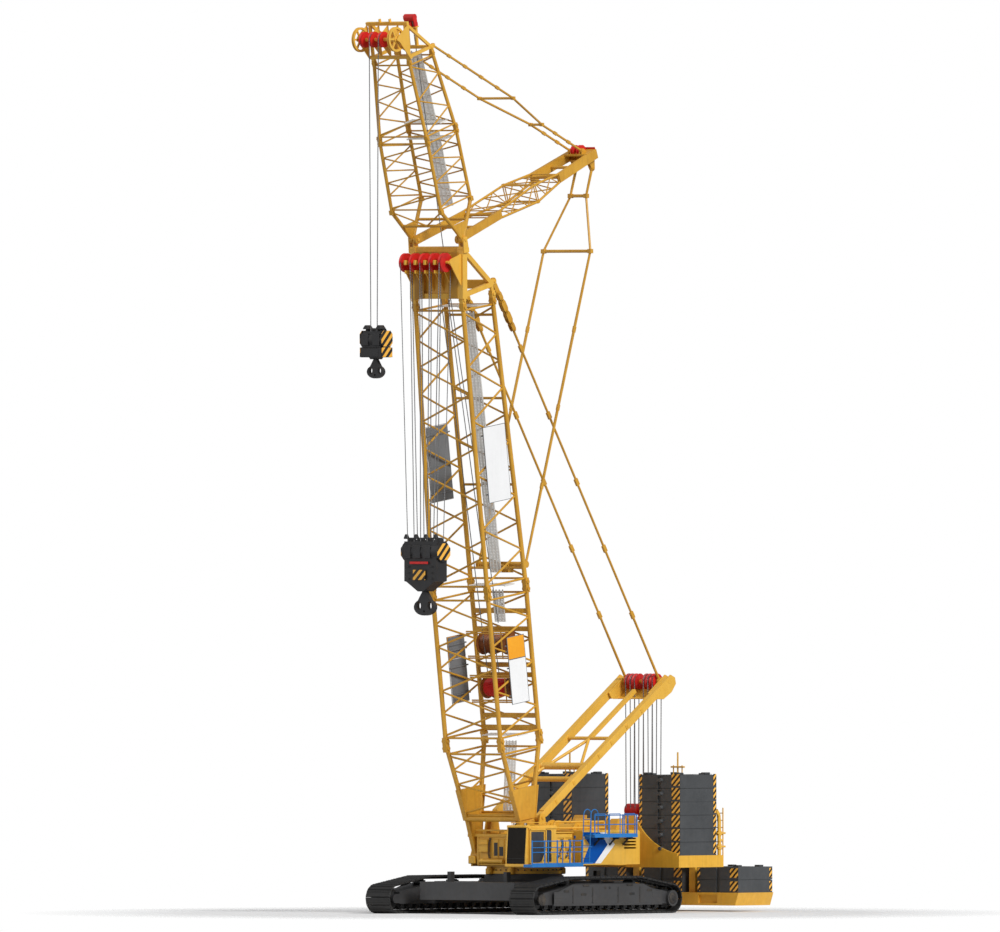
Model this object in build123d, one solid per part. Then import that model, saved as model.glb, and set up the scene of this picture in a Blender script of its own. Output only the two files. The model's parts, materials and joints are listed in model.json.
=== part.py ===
from build123d import *
import os
from math import atan2, ceil, cos, degrees, hypot, pi, radians, sin, sqrt

# Crawler crane with a lattice main boom and a luffing jib, in millimetres.
# X points forward, Y to the operator's left, Z up. Sizes are written from the slewing axis at
# ground level; every node is moved by FRAME_SHIFT at the end, so that the whole machine's box
# is centred on the origin.

# ---- crawlers -------------------------------------------------------------------------
TRACK_GAUGE = 7690          # centre to centre
SHOE_WIDTH = 1310
END_WHEEL_SPREAD = 4350     # idler and sprocket from the slewing axis
END_WHEEL_RADIUS = 620      # to the outside of the shoes
TOP_ROLLER_SPREAD = 2200
TOP_ROLLER_RADIUS = 260     # to the outside of the shoes
TRACK_TOP = 1570
SHOE_THICKNESS = 95
LINK_THICKNESS = 70
SHOE_GAP = 45
SHOE_PITCH = 380
ROLLER_RADIUS = 190
ROLLER_PITCH = 524
ROLLER_COUNT = 15
ROLLER_WIDTH = 420
TRACK_CLEARANCE = 0.3       # wheels and rollers to the inside of the links
FRAME_WIDTH = 1000          # crawler side frame, over its plates
FRAME_BOTTOM = 400
AXLE_RADIUS = 90
BORE_CLEARANCE = 0.1
HUB_RADIUS = 330

# ---- carbody --------------------------------------------------------------------------
CARBODY_RADIUS = 1950
CARBODY_BOTTOM = 560
CARBODY_TOP = 1440
CROSS_BEAM_OFFSET = 1450
CROSS_BEAM_WIDTH = 720
RING_SEAT_RADIUS = 1650
RING_SEAT_TOP = 1580
RING_RADIUS = 1520
RING_BORE = 1180
RING_HEIGHT = 180
RING_GAP = 0.3              # running gap between the two slewing rings
BALLAST_BACK = 2350         # carbody ballast, inner face from the slewing axis
BALLAST_FRONT = 3900
BALLAST_HALF_WIDTH = 2520
BALLAST_BOTTOM = 580
BALLAST_TOP = 1330
BALLAST_POST = 420

# ---- superstructure -------------------------------------------------------------------
DECK_BOTTOM = 1960
DECK_FRONT = 1700
DECK_REAR = -5350
GIRDER_OUTER = 1150         # half width over the two main girders
GIRDER_WIDTH = 400
GIRDER_TOP = 3300
FLOOR_PLATE = 60
BOOM_PIN_X = 1400
BOOM_PIN_Z = 2330
BOOM_PIN_RADIUS = 90
BOOM_FOOT_HALF = 1350
FOOT_BOSS_WIDTH = 240
FOOT_BOSS_RADIUS = 270
SEAT = 0.3                  # pieces of one body that rest on each other
SIDE_GAP = 15               # between a pivoting eye and its bracket plates
MAST_PIN_X = 560
MAST_PIN_Z = 4000
MAST_HALF = 1260
MAST_PIN_RADIUS = 70
MAST_LEG_WIDTH = 240
MAST_LEG_DEPTH = 330

# ---- cab ------------------------------------------------------------------------------
CAB_REAR = 1200
CAB_FRONT = 3200
CAB_INNER = 1630
CAB_OUTER = 2690
CAB_FLOOR = 1960
CAB_ROOF = 3690
CAB_WALL = 60
CAB_SLOPE = 110             # the windscreen leans back by this much
DOOR_FRONT = 3060
DOOR_LENGTH = 1130
DOOR_THICKNESS = 40
DOOR_GAP = 8
DOOR_END_ROOM = 25           # left between the open door and the cab's rear corner
DOOR_BOTTOM = 2070
DOOR_TOP = 3560
GLASS = 12
DOOR_REAR = DOOR_FRONT - DOOR_LENGTH
WINDOW_BOTTOM = CAB_FLOOR + 480
WINDOW_TOP = CAB_ROOF - 190

# ---- machinery, walkways --------------------------------------------------------------
HOUSE_TOP = 3450
HOUSE_BOTTOM = 2020
HOUSE_INNER = 1150.3        # seats on the girder's side
LEFT_HOUSE_FRONT = -570
LEFT_HOUSE_REAR = -4350
LEFT_HOUSE_OUTER = 2700
RIGHT_HOUSE_FRONT = -120
RIGHT_HOUSE_REAR = -4600
RIGHT_HOUSE_OUTER = 2550
HOUSE_WALL = 60
ENGINE_LENGTH = 2000
ENGINE_WIDTH = 900
ENGINE_HEIGHT = 1100
WALKWAY_THICKNESS = 120
LOWER_WALKWAY_TOP = 2080
UPPER_WALKWAY_TOP = 3280
WALKWAY_OUTER = 3270
RAIL_HEIGHT = 1000
UPPER_RAIL_HEIGHT = 840
CABINET_FRONT = 1130        # hydraulic cabinet between the cab and the left house
CABINET_REAR = -440
CABINET_INNER = 1640
CABINET_OUTER = 2230
CABINET_TOP = 3360
RAIL_RADIUS = 20
POST_RADIUS = 28
RAIL_POST_PITCH = 950
CAB_WALK_INNER = CAB_OUTER + DOOR_GAP + DOOR_THICKNESS + 62
HOIST_BLOCK_Z = 4210
HOIST_GROUP = 475
HOIST_SEAT = 3880

# ---- ballast --------------------------------------------------------------------------
TRAY_FRONT = -5350
TRAY_REAR = -8300
TRAY_BOTTOM = 1875
TRAY_THICKNESS = 500
TRAY_HALF_WIDTH = 3990
STACK_FRONT = -5420
STACK_REAR = -7850
STACK_INNER = 1800
BLOCK_HEIGHT = 560
BLOCK_COUNT = 6
BLOCK_GROOVE = 18
LOWER_FRONT = -9140
LOWER_REAR = -11500
LOWER_HALF_WIDTH = 4130
LOWER_TRAY_BOTTOM = 250
LOWER_TRAY_TOP = 790
LOWER_BLOCK_HEIGHT = 540
LOWER_BLOCK_ROWS = 2
LOWER_STACK_WIDTH = 2200
LOWER_STACK_PITCH = 3000
CARRIER_WIDTH = 320
CARRIER_HEIGHT = 400
TRAY_TOP = TRAY_BOTTOM + TRAY_THICKNESS

# ---- main boom ------------------------------------------------------------------------
BOOM_LEAN = 7.95            # degrees forward of vertical
FOOT_LENGTH = 4914
BASE_LENGTH = 6364
TAPER_LENGTH = 12120
BOOM_HALF_WIDTH = 1467      # chord centres
BOOM_HALF_DEPTH = 1280
TOP_HALF_WIDTH = 1265
TOP_HALF_DEPTH = 985
CHORD_RADIUS = 88
LACING_RADIUS = 38
LACING_SIDES = 6
HEAD_LENGTH = 2350
HEAD_TOP_OFFSET = 690       # head's top beam, forward of the boom's axis
SHEAVE_OFFSET = 1630        # main sheaves, forward of the boom's axis
SHEAVE_ALONG = 25210        # and along it from the foot pins
SHEAVE_RADIUS = 400
SHEAVE_WIDTH = 150
SHEAVE_PITCH = 520
SHEAVE_COUNT = 5
SHAFT_RADIUS = 75
PENDANT_ALONG = 23980
PENDANT_OFFSET = -1600
PENDANT_HALF = 880
PENDANT_RADIUS = 42
LINK_EYE_RADIUS = 115
LINK_PIN_RADIUS = 45
LINK_PIN_PLAY = 36          # the boom end of a pendant is left open by this much
MAST_HEAD_X = -7950
MAST_HEAD_Z = 9620
WINCH_RADIUS = 340
WINCH_FLANGE = 470
WINCH_HALF_WIDTH = 620
WINCH_OFFSET = -760
CONNECTOR = 200
CHORD_TRIM = 60            # chords stop short of the joint plane, inside their end blocks
WINCH_BEAMS = (5300, 5800, 7510, 7930, 9440, 10200)   # rear cross beams, along the boom
BEAM_DEPTH = 180
CATWALK_BARS = (0.06, 0.35, 0.65, 0.94)
CATWALK_BAR_RADIUS = 45
CATWALK_THICKNESS = 40
CATWALK_WIDTH = 520
LINK_WIDTH = 60
HEAD_PLATE_INNER = 1060

# ---- luffing jib and strut ------------------------------------------------------------
JIB_PIN_ALONG = 26050       # along the main boom
JIB_PIN_OFFSET = 704
JIB_PIN_RADIUS = 70
JIB_FOOT_HALF = 1340
JIB_LEAN = 16.8
JIB_FOOT_LENGTH = 1475
JIB_BASE_LENGTH = 3065
JIB_TOP_LENGTH = 3415
JIB_HALF_WIDTHS = (1316, 1268, 936)
JIB_HALF_DEPTHS = (1010, 980, 772)
JIB_CHORD_RADIUS = 62
JIB_LACING_RADIUS = 27
JIB_SHEAVE_ALONG = 9050
JIB_SHEAVE_OFFSET = 1361
JIB_WHEEL_RADIUS = 515
JIB_WHEEL_HALF = 946
JIB_SHEAVE_RADIUS = 330
STRUT_ANGLE = 20.56         # degrees above the horizontal, rearwards
STRUT_LENGTH = 10250
STRUT_FOOT_HALF = 1115
STRUT_ARM_WIDTH = 130
STRUT_HEAD_HALF = 600
JIB_PENDANT_HALF = 900
JIB_PENDANT_RADIUS = 36
STAY_END_X = 1437
STAY_END_Z = 14540
STAY_HALF = 1250
STAY_RADIUS = 40
JIB_EYE_WIDTH = 160
JIB_BASE_END = JIB_FOOT_LENGTH + JIB_BASE_LENGTH
JIB_TOP_END = JIB_BASE_END + JIB_TOP_LENGTH
JIB_CONNECTOR = 140
JIB_TRIM = 45
JIB_HEAD_TOP = 9515
JIB_REAR_RISE = 160         # rear head beam and pendant lugs, above the top section
GUIDE_OFFSET = -912         # rope guide on the jib head
GUIDE_ALONG = 9340
GUIDE_SEAT = 8960
GUIDE_HALF = 260
JIB_TOP_BEAM_OFFSET = 595
JIB_TOP_BEAM_HALF = 1100
JIB_ARM_HALF = 1072
JIB_LUG_REACH = 190
SMALL_PIN_RADIUS = 36
JIB_MID_ARMS = (-457, 28, 560)
JIB_SHEAVE_PLACES = (-700, -215, 270)
STRUT_TOP_HALF = 300
STRUT_LUG_ALONG = 9890
STRUT_LUG_UP = 300
STAY_TOP_HALF = 420
STAY_PIN_ALONG = STRUT_LENGTH - 113
STAY_PIN_DROP = -565
STAY_PIN_RADIUS = 50

# ---- hooks ----------------------------------------------------------------------------
MAIN_HOOK_SHEAVE_Z = 15080
MAIN_BLOCK_HALF = 860
AUX_HOOK_SHEAVE_Z = 23850
AUX_HOOK_FORWARD = 130      # from the jib head's shaft
SHACKLE_RADIUS = 45
MAIN_HOOK_SIZE = 580
MAIN_HOOK_THICKNESS = 210
AUX_HOOK_SIZE = 460
AUX_HOOK_THICKNESS = 170
HOOK_REACH = 0.94           # half width over both horns, as a share of the hook's size
HOOK_BOWL = (0.20, 0.30)    # half width and half height of a bowl
HOOK_BOWL_OFFSET = 0.50
HOOK_BOWL_RISE = 0.10
HOOK_SHANK = 95
AUX_SHANK = 76
HOOK_SOCKET = 190
HOOK_SEAT = 0.3
MAIN_FOOT_Z = 13420
AUX_FOOT_Z = 23050

FRONT_REACH = 10300         # foremost and rearmost points of the whole machine
FRAME_SHIFT = -(FRONT_REACH + LOWER_REAR) / 2


# ---- small helpers --------------------------------------------------------------------
def block(x0, x1, y0, y1, z0, z1):
    """A box between two corners."""
    centre = Pos((x0 + x1) / 2, (y0 + y1) / 2, (z0 + z1) / 2)
    return centre * Box(abs(x1 - x0), abs(y1 - y0), abs(z1 - z0))


def bar(start, end, radius):
    """A round bar between two points."""
    start, end = Vector(*start), Vector(*end)
    plane = Plane(origin=start, z_dir=end - start)
    return plane * Cylinder(radius, (end - start).length, align=(Align.CENTER, Align.CENTER, Align.MIN))


def lace(start, end, radius):
    """A many-sided bar between two points, for lacings."""
    start, end = Vector(*start), Vector(*end)
    plane = Plane(origin=start, z_dir=end - start)
    return extrude(plane * RegularPolygon(radius, LACING_SIDES), (end - start).length)


def beam(start, end, width, height):
    """A square-edged bar between two points; its width lies along Y where it can."""
    start, end = Vector(*start), Vector(*end)
    axis = (end - start).normalized()
    across = Vector(0, 1, 0) if abs(axis.Y) < 0.9 else Vector(1, 0, 0)
    side = (across - axis * across.dot(axis)).normalized()
    plane = Plane(origin=start, x_dir=side, z_dir=axis)
    return extrude(plane * Rectangle(width, height), (end - start).length)


def side_plate(points, y0, y1):
    """A plate with an outline in X and Z, between two values of Y."""
    outline = Plane.XZ * make_face(Polyline(*points, close=True))
    return Pos(0, max(y0, y1), 0) * extrude(outline, abs(y1 - y0))


def across_y(x, z, radius, y0, y1):
    """A round bar along Y."""
    return Pos(x, (y0 + y1) / 2, z) * Rot(90, 0, 0) * Cylinder(radius, abs(y1 - y0))


def fuse(shapes):
    """One solid of many that overlap."""
    return shapes[0].fuse(*shapes[1:]) if len(shapes) > 1 else shapes[0]


def apart(shapes):
    """Several solids that don't touch, as one node."""
    solids = [solid for shape in shapes for solid in shape.solids()]
    return Compound(solids)


def between(low, high, share):
    """The point a share of the way from one point to another."""
    return tuple(a + (b - a) * share for a, b in zip(low, high))


def polar_frame(x, z, lean):
    """A plane whose Z runs along a boom that leans forward of vertical, in degrees."""
    along = (sin(radians(lean)), 0, cos(radians(lean)))
    forward = (cos(radians(lean)), 0, -sin(radians(lean)))
    return Plane(origin=(x, 0, z), x_dir=forward, z_dir=along)


BOOM = polar_frame(BOOM_PIN_X, BOOM_PIN_Z, BOOM_LEAN)
JIB_PIN = BOOM.from_local_coords((JIB_PIN_OFFSET, 0, JIB_PIN_ALONG))
JIB = polar_frame(JIB_PIN.X, JIB_PIN.Z, JIB_LEAN)
STRUT = polar_frame(JIB_PIN.X, JIB_PIN.Z, STRUT_ANGLE - 90)
PENDANT_TOP = BOOM.from_local_coords((PENDANT_OFFSET, 0, PENDANT_ALONG))
MAIN_SHEAVES = BOOM.from_local_coords((SHEAVE_OFFSET, 0, SHEAVE_ALONG))
JIB_SHEAVES = JIB.from_local_coords((JIB_SHEAVE_OFFSET, 0, JIB_SHEAVE_ALONG))
STRUT_LUG = STRUT.from_local_coords((STRUT_LUG_UP, 0, STRUT_LUG_ALONG))
STAY_PIN = STRUT.from_local_coords((STAY_PIN_DROP, 0, STAY_PIN_ALONG))
JIB_LUG = JIB.from_local_coords((-JIB_HALF_DEPTHS[2] - JIB_LUG_REACH, 0, JIB_TOP_END + JIB_REAR_RISE))
BOOM_BASE_END = FOOT_LENGTH + BASE_LENGTH
BOOM_TOP_END = BOOM_BASE_END + TAPER_LENGTH


# ---- lattice sections -----------------------------------------------------------------
def corners(half_depth, half_width, along):
    """A section's four chord points: front right, front left, rear left, rear right."""
    return [
        (half_depth, -half_width, along),
        (half_depth, half_width, along),
        (-half_depth, half_width, along),
        (-half_depth, -half_width, along),
    ]


def lattice(low, high, chord_radius, lacing_radius, levels, end_room, trim=0):
    """Four chords with zigzag lacing on every face and a frame at each end."""
    length = high[0][2] - low[0][2]
    first, last = end_room / length, 1 - end_room / length
    start, stop = trim / length, 1 - trim / length
    pieces = [bar(between(low[k], high[k], start), between(low[k], high[k], stop), chord_radius)
              for k in range(4)]
    for k in range(4):
        here, there = k, (k + 1) % 4
        for share in (first, last):
            pieces.append(
                lace(between(low[here], high[here], share), between(low[there], high[there], share),
                     lacing_radius)
            )
        near, far = first + 2.6 * lacing_radius / length, last - 2.6 * lacing_radius / length
        for i in range(levels):
            share = near + (far - near) * i / levels
            above = near + (far - near) * (i + 1) / levels
            a, b = (here, there) if i % 2 == 0 else (there, here)
            pieces.append(
                lace(between(low[a], high[a], share), between(low[b], high[b], above), lacing_radius)
            )
    return pieces


def connectors(points, size, sign):
    """Pinned end blocks of a section; sign is the side of the joint plane they lie on."""
    pieces = []
    for x, y, z in points:
        inner = z + sign * size * 1.5
        pieces.append(block(x - size / 2, x + size / 2, y - size / 2, y + size / 2, z, inner))
        pieces.append(
            Pos(x, y, z + sign * size * 0.75) * Rot(90, 0, 0) * Cylinder(size * 0.36, size * 1.5)
        )
    return pieces


# ---- crawlers -------------------------------------------------------------------------
def belt_circles(inset):
    """Circles that the crawler belt runs round, counter-clockwise from the front: x, z, radius."""
    end_r = END_WHEEL_RADIUS - inset
    top_r = TOP_ROLLER_RADIUS - inset
    top_z = TRACK_TOP - TOP_ROLLER_RADIUS
    return [
        (END_WHEEL_SPREAD, END_WHEEL_RADIUS, end_r),
        (TOP_ROLLER_SPREAD, top_z, top_r),
        (-TOP_ROLLER_SPREAD, top_z, top_r),
        (-END_WHEEL_SPREAD, END_WHEEL_RADIUS, end_r),
    ]


def belt_runs(inset):
    """Straight runs of the belt, as pairs of tangent points, and each circle's arc angles."""
    circles = belt_circles(inset)
    normals = []
    for (x0, z0, r0), (x1, z1, r1) in zip(circles, circles[1:] + circles[:1]):
        heading = atan2(z1 - z0, x1 - x0)
        turn = (r0 - r1) / hypot(x1 - x0, z1 - z0)
        normals.append(heading - pi / 2 + atan2(turn, sqrt(1 - turn * turn)))
    return circles, normals


def belt_points(inset, spacing):
    """Evenly spaced points along the belt with their outward normals."""
    circles, normals = belt_runs(inset)
    pieces = []
    for k, (x, z, r) in enumerate(circles):
        begin = normals[k - 1]
        sweep = (normals[k] - begin) % (2 * pi)
        pieces.append(("arc", x, z, r, begin, sweep))
        x1, z1, r1 = circles[(k + 1) % len(circles)]
        start = (x + r * cos(normals[k]), z + r * sin(normals[k]))
        end = (x1 + r1 * cos(normals[k]), z1 + r1 * sin(normals[k]))
        pieces.append(("line", start, end, normals[k]))
    lengths = [p[3] * p[5] if p[0] == "arc" else hypot(p[2][0] - p[1][0], p[2][1] - p[1][1])
               for p in pieces]
    total = sum(lengths)
    count = round(total / spacing)
    points = []
    for i in range(count):
        at = total * i / count
        k = 0
        while at > lengths[k]:
            at -= lengths[k]
            k += 1
        piece = pieces[k]
        if piece[0] == "arc":
            angle = piece[4] + piece[5] * at / lengths[k]
            points.append((piece[1] + piece[3] * cos(angle), piece[2] + piece[3] * sin(angle), angle))
        else:
            x, z = between(piece[1], piece[2], at / lengths[k])
            points.append((x, z, piece[3]))
    return points


def belt_outline(inset):
    """The belt's smooth inner outline as a face in X and Z."""
    circles, normals = belt_runs(inset)
    edges = []
    for k, (x, z, r) in enumerate(circles):
        begin, end = normals[k - 1], normals[k]
        middle = begin + ((end - begin) % (2 * pi)) / 2
        arc = [(x + r * cos(a), z + r * sin(a)) for a in (begin, middle, end)]
        edges.append(ThreePointArc(*arc))
        x1, z1, r1 = circles[(k + 1) % len(circles)]
        edges.append(Line(arc[2], (x1 + r1 * cos(end), z1 + r1 * sin(end))))
    return make_face(Wire(edges))


def track(side):
    """One crawler belt: flat shoes between evenly spaced pins, on a smooth chain."""
    pins = belt_points(SHOE_THICKNESS, SHOE_PITCH)
    outline = []
    for (x0, z0, _), (x1, z1, _) in zip(pins, pins[1:] + pins[:1]):
        span = hypot(x1 - x0, z1 - z0)
        out_x, out_z = (z1 - z0) / span * SHOE_THICKNESS, -(x1 - x0) / span * SHOE_THICKNESS
        trim = SHOE_GAP / 2 / span
        for share, lift in ((trim, 0), (trim, 1), (1 - trim, 1), (1 - trim, 0)):
            x, z = between((x0, z0), (x1, z1), share)
            outline.append((x + lift * out_x, z + lift * out_z))
    outer = make_face(Polyline(*outline, close=True))
    inner = belt_outline(SHOE_THICKNESS + LINK_THICKNESS)
    loop = Plane.XZ * (outer - inner)
    centre = side * TRACK_GAUGE / 2
    return Pos(0, centre + SHOE_WIDTH / 2, 0) * extrude(loop, SHOE_WIDTH)


def roller_positions():
    """Bottom rollers' centres along X."""
    span = ROLLER_PITCH * (ROLLER_COUNT - 1)
    return [-span / 2 + i * ROLLER_PITCH for i in range(ROLLER_COUNT)]


def roller(x, z, radius, centre):
    """A plain roller, as wide as the room between its brackets less a running gap."""
    return across_y(x, z, radius, centre - ROLLER_WIDTH / 2, centre + ROLLER_WIDTH / 2)


def sprocket(x, centre):
    """The toothed drive wheel."""
    depth = SHOE_THICKNESS + LINK_THICKNESS + TRACK_CLEARANCE
    radius = END_WHEEL_RADIUS - depth
    teeth = 9
    outline = []
    for i in range(teeth):
        for share, r in ((0.0, 0.84), (0.22, 0.84), (0.38, 1), (0.62, 1), (0.78, 0.84)):
            angle = 2 * pi * (i + share) / teeth
            outline.append((x + radius * r * cos(angle), END_WHEEL_RADIUS + radius * r * sin(angle)))
    return side_plate(outline, centre - ROLLER_WIDTH / 2, centre + ROLLER_WIDTH / 2)


def track_wheels(side):
    """Sprocket at the rear, idler at the front, bottom rollers and top rollers."""
    centre = side * TRACK_GAUGE / 2
    depth = SHOE_THICKNESS + LINK_THICKNESS + TRACK_CLEARANCE
    wheels = [sprocket(-END_WHEEL_SPREAD, centre)]
    wheels.append(roller(END_WHEEL_SPREAD, END_WHEEL_RADIUS, END_WHEEL_RADIUS - depth, centre))
    for x in roller_positions():
        wheels.append(roller(x, depth + ROLLER_RADIUS, ROLLER_RADIUS, centre))
    for x in (-TOP_ROLLER_SPREAD, 0, TOP_ROLLER_SPREAD):
        top_z = TRACK_TOP - depth - top_roller_radius()
        wheels.append(roller(x, top_z, top_roller_radius(), centre))
    return apart(wheels)


def top_roller_radius():
    """Top rollers fill the room left above the side frame."""
    return TOP_ROLLER_RADIUS - SHOE_THICKNESS - LINK_THICKNESS - TRACK_CLEARANCE


def track_frame(side):
    """Crawler side frame: two plates with a web, axles of every wheel and the drive hub."""
    centre = TRACK_GAUGE / 2
    depth = SHOE_THICKNESS + LINK_THICKNESS + TRACK_CLEARANCE
    half = FRAME_WIDTH / 2
    low_y, high_y = centre - half, centre + half
    top = TRACK_TOP - depth - 2 * 60
    shoulder = 900
    reach = END_WHEEL_SPREAD - 250
    hull = [
        (-reach, FRAME_BOTTOM), (reach, FRAME_BOTTOM), (reach, shoulder),
        (TOP_ROLLER_SPREAD + 250, top - 120), (TOP_ROLLER_SPREAD - 250, top),
        (-TOP_ROLLER_SPREAD + 250, top), (-TOP_ROLLER_SPREAD - 250, top - 120), (-reach, shoulder),
    ]
    # room for rollers, idler and sprocket between the two plates
    room = ROLLER_WIDTH / 2 + SEAT
    floor = depth + 2 * ROLLER_RADIUS + 40
    top_spots = (-TOP_ROLLER_SPREAD, 0, TOP_ROLLER_SPREAD)
    cuts = [block(-reach - 10, reach + 10, centre - room, centre + room, 0, floor)]
    for x in (-END_WHEEL_SPREAD, END_WHEEL_SPREAD):
        cuts.append(across_y(x, END_WHEEL_RADIUS, END_WHEEL_RADIUS - depth + 40, centre - room,
                             centre + room))
    for x in top_spots:
        cuts.append(block(x - 230, x + 230, centre - room, centre + room, top - 300, top + 10))
    frame = side_plate(hull, low_y, high_y).cut(*cuts)
    # plates that carry the end wheels
    adds = []
    for x in (-END_WHEEL_SPREAD, END_WHEEL_SPREAD):
        inner_x = x - 500 if x > 0 else x + 500
        for y in (low_y, high_y - 120):
            adds.append(block(min(x, inner_x), max(x, inner_x), y, y + 120, 430, 810))
            adds.append(across_y(x, END_WHEEL_RADIUS, 190, y, y + 120))
        for y0, y1 in ((low_y, centre - room), (centre + room, high_y)):
            adds.append(across_y(x, END_WHEEL_RADIUS, AXLE_RADIUS, y0, y1))
    adds.append(across_y(-END_WHEEL_SPREAD, END_WHEEL_RADIUS, HUB_RADIUS, high_y, high_y + 130))
    # roller axles with their brackets
    for x in roller_positions():
        axle_z = depth + ROLLER_RADIUS
        for y in (centre - room - 90, centre + room):
            adds.append(block(x - 120, x + 120, y, y + 90, axle_z - 110, FRAME_BOTTOM + 20))
    for x in top_spots:
        axle_z = TRACK_TOP - depth - top_roller_radius()
        for y in (centre - room - 60, centre + room):
            adds.append(block(x - 90, x + 90, y, y + 60, top - 320, axle_z + 60))
    frame = frame.fuse(*adds)
    return frame if side > 0 else mirror(frame, Plane.XZ)


# ---- carbody --------------------------------------------------------------------------
def carbody():
    """Eight-sided centre box, two cross beams and the arms that carry the ballast."""
    body = extrude(Pos(0, 0, CARBODY_BOTTOM) * Rot(0, 0, 22.5) * RegularPolygon(CARBODY_RADIUS, 8),
                   CARBODY_TOP - CARBODY_BOTTOM)
    reach = TRACK_GAUGE / 2 - FRAME_WIDTH / 2
    half = CROSS_BEAM_WIDTH / 2
    for x in (-CROSS_BEAM_OFFSET, CROSS_BEAM_OFFSET):
        body += block(x - half, x + half, -reach, reach, CARBODY_BOTTOM + 60, CARBODY_TOP - 110)
    for x0, x1 in ((CARBODY_RADIUS - 350, BALLAST_BACK), (-BALLAST_BACK, 350 - CARBODY_RADIUS)):
        body += block(x0, x1, -900, 900, BALLAST_BOTTOM + 60, BALLAST_TOP - 60)
    body += Pos(0, 0, (CARBODY_TOP + RING_SEAT_TOP) / 2 - 10) * Cylinder(
        RING_SEAT_RADIUS, RING_SEAT_TOP - CARBODY_TOP + 20)
    return body - Pos(0, 0, RING_SEAT_TOP) * Cylinder(RING_BORE * 0.6, 300)


def ring(z, radius, teeth_depth):
    """A slewing ring with a bolt flange."""
    body = Pos(0, 0, z + RING_HEIGHT / 2) * Cylinder(radius, RING_HEIGHT)
    body += Pos(0, 0, z + RING_HEIGHT / 4) * Cylinder(radius + teeth_depth, RING_HEIGHT / 2)
    return body - Pos(0, 0, z) * Cylinder(RING_BORE, RING_HEIGHT * 3)


def slewing_ring_upper():
    """The ring's upper race, from the running gap to the deck."""
    bottom = RING_SEAT_TOP + RING_HEIGHT + RING_GAP
    body = Pos(0, 0, (bottom + DECK_BOTTOM) / 2) * Cylinder(RING_RADIUS, DECK_BOTTOM - bottom)
    return body - Pos(0, 0, bottom) * Cylinder(RING_BORE, 3 * (DECK_BOTTOM - bottom))


def carbody_ballast():
    """One weight at each end of the carbody, with a lifting post."""
    weight = block(BALLAST_BACK, BALLAST_FRONT, -BALLAST_HALF_WIDTH, BALLAST_HALF_WIDTH,
                   BALLAST_BOTTOM, BALLAST_TOP)
    edges = weight.edges().filter_by(Axis.Z).sort_by(Axis.X)[-2:]
    weight = chamfer(edges, 120)
    for y in (-1500, 1500):
        weight += block(BALLAST_BACK + 500, BALLAST_BACK + 760, y - 90, y + 90,
                        BALLAST_TOP - 10, BALLAST_TOP + BALLAST_POST)
    return apart([weight, mirror(weight, Plane.YZ)])


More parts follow.
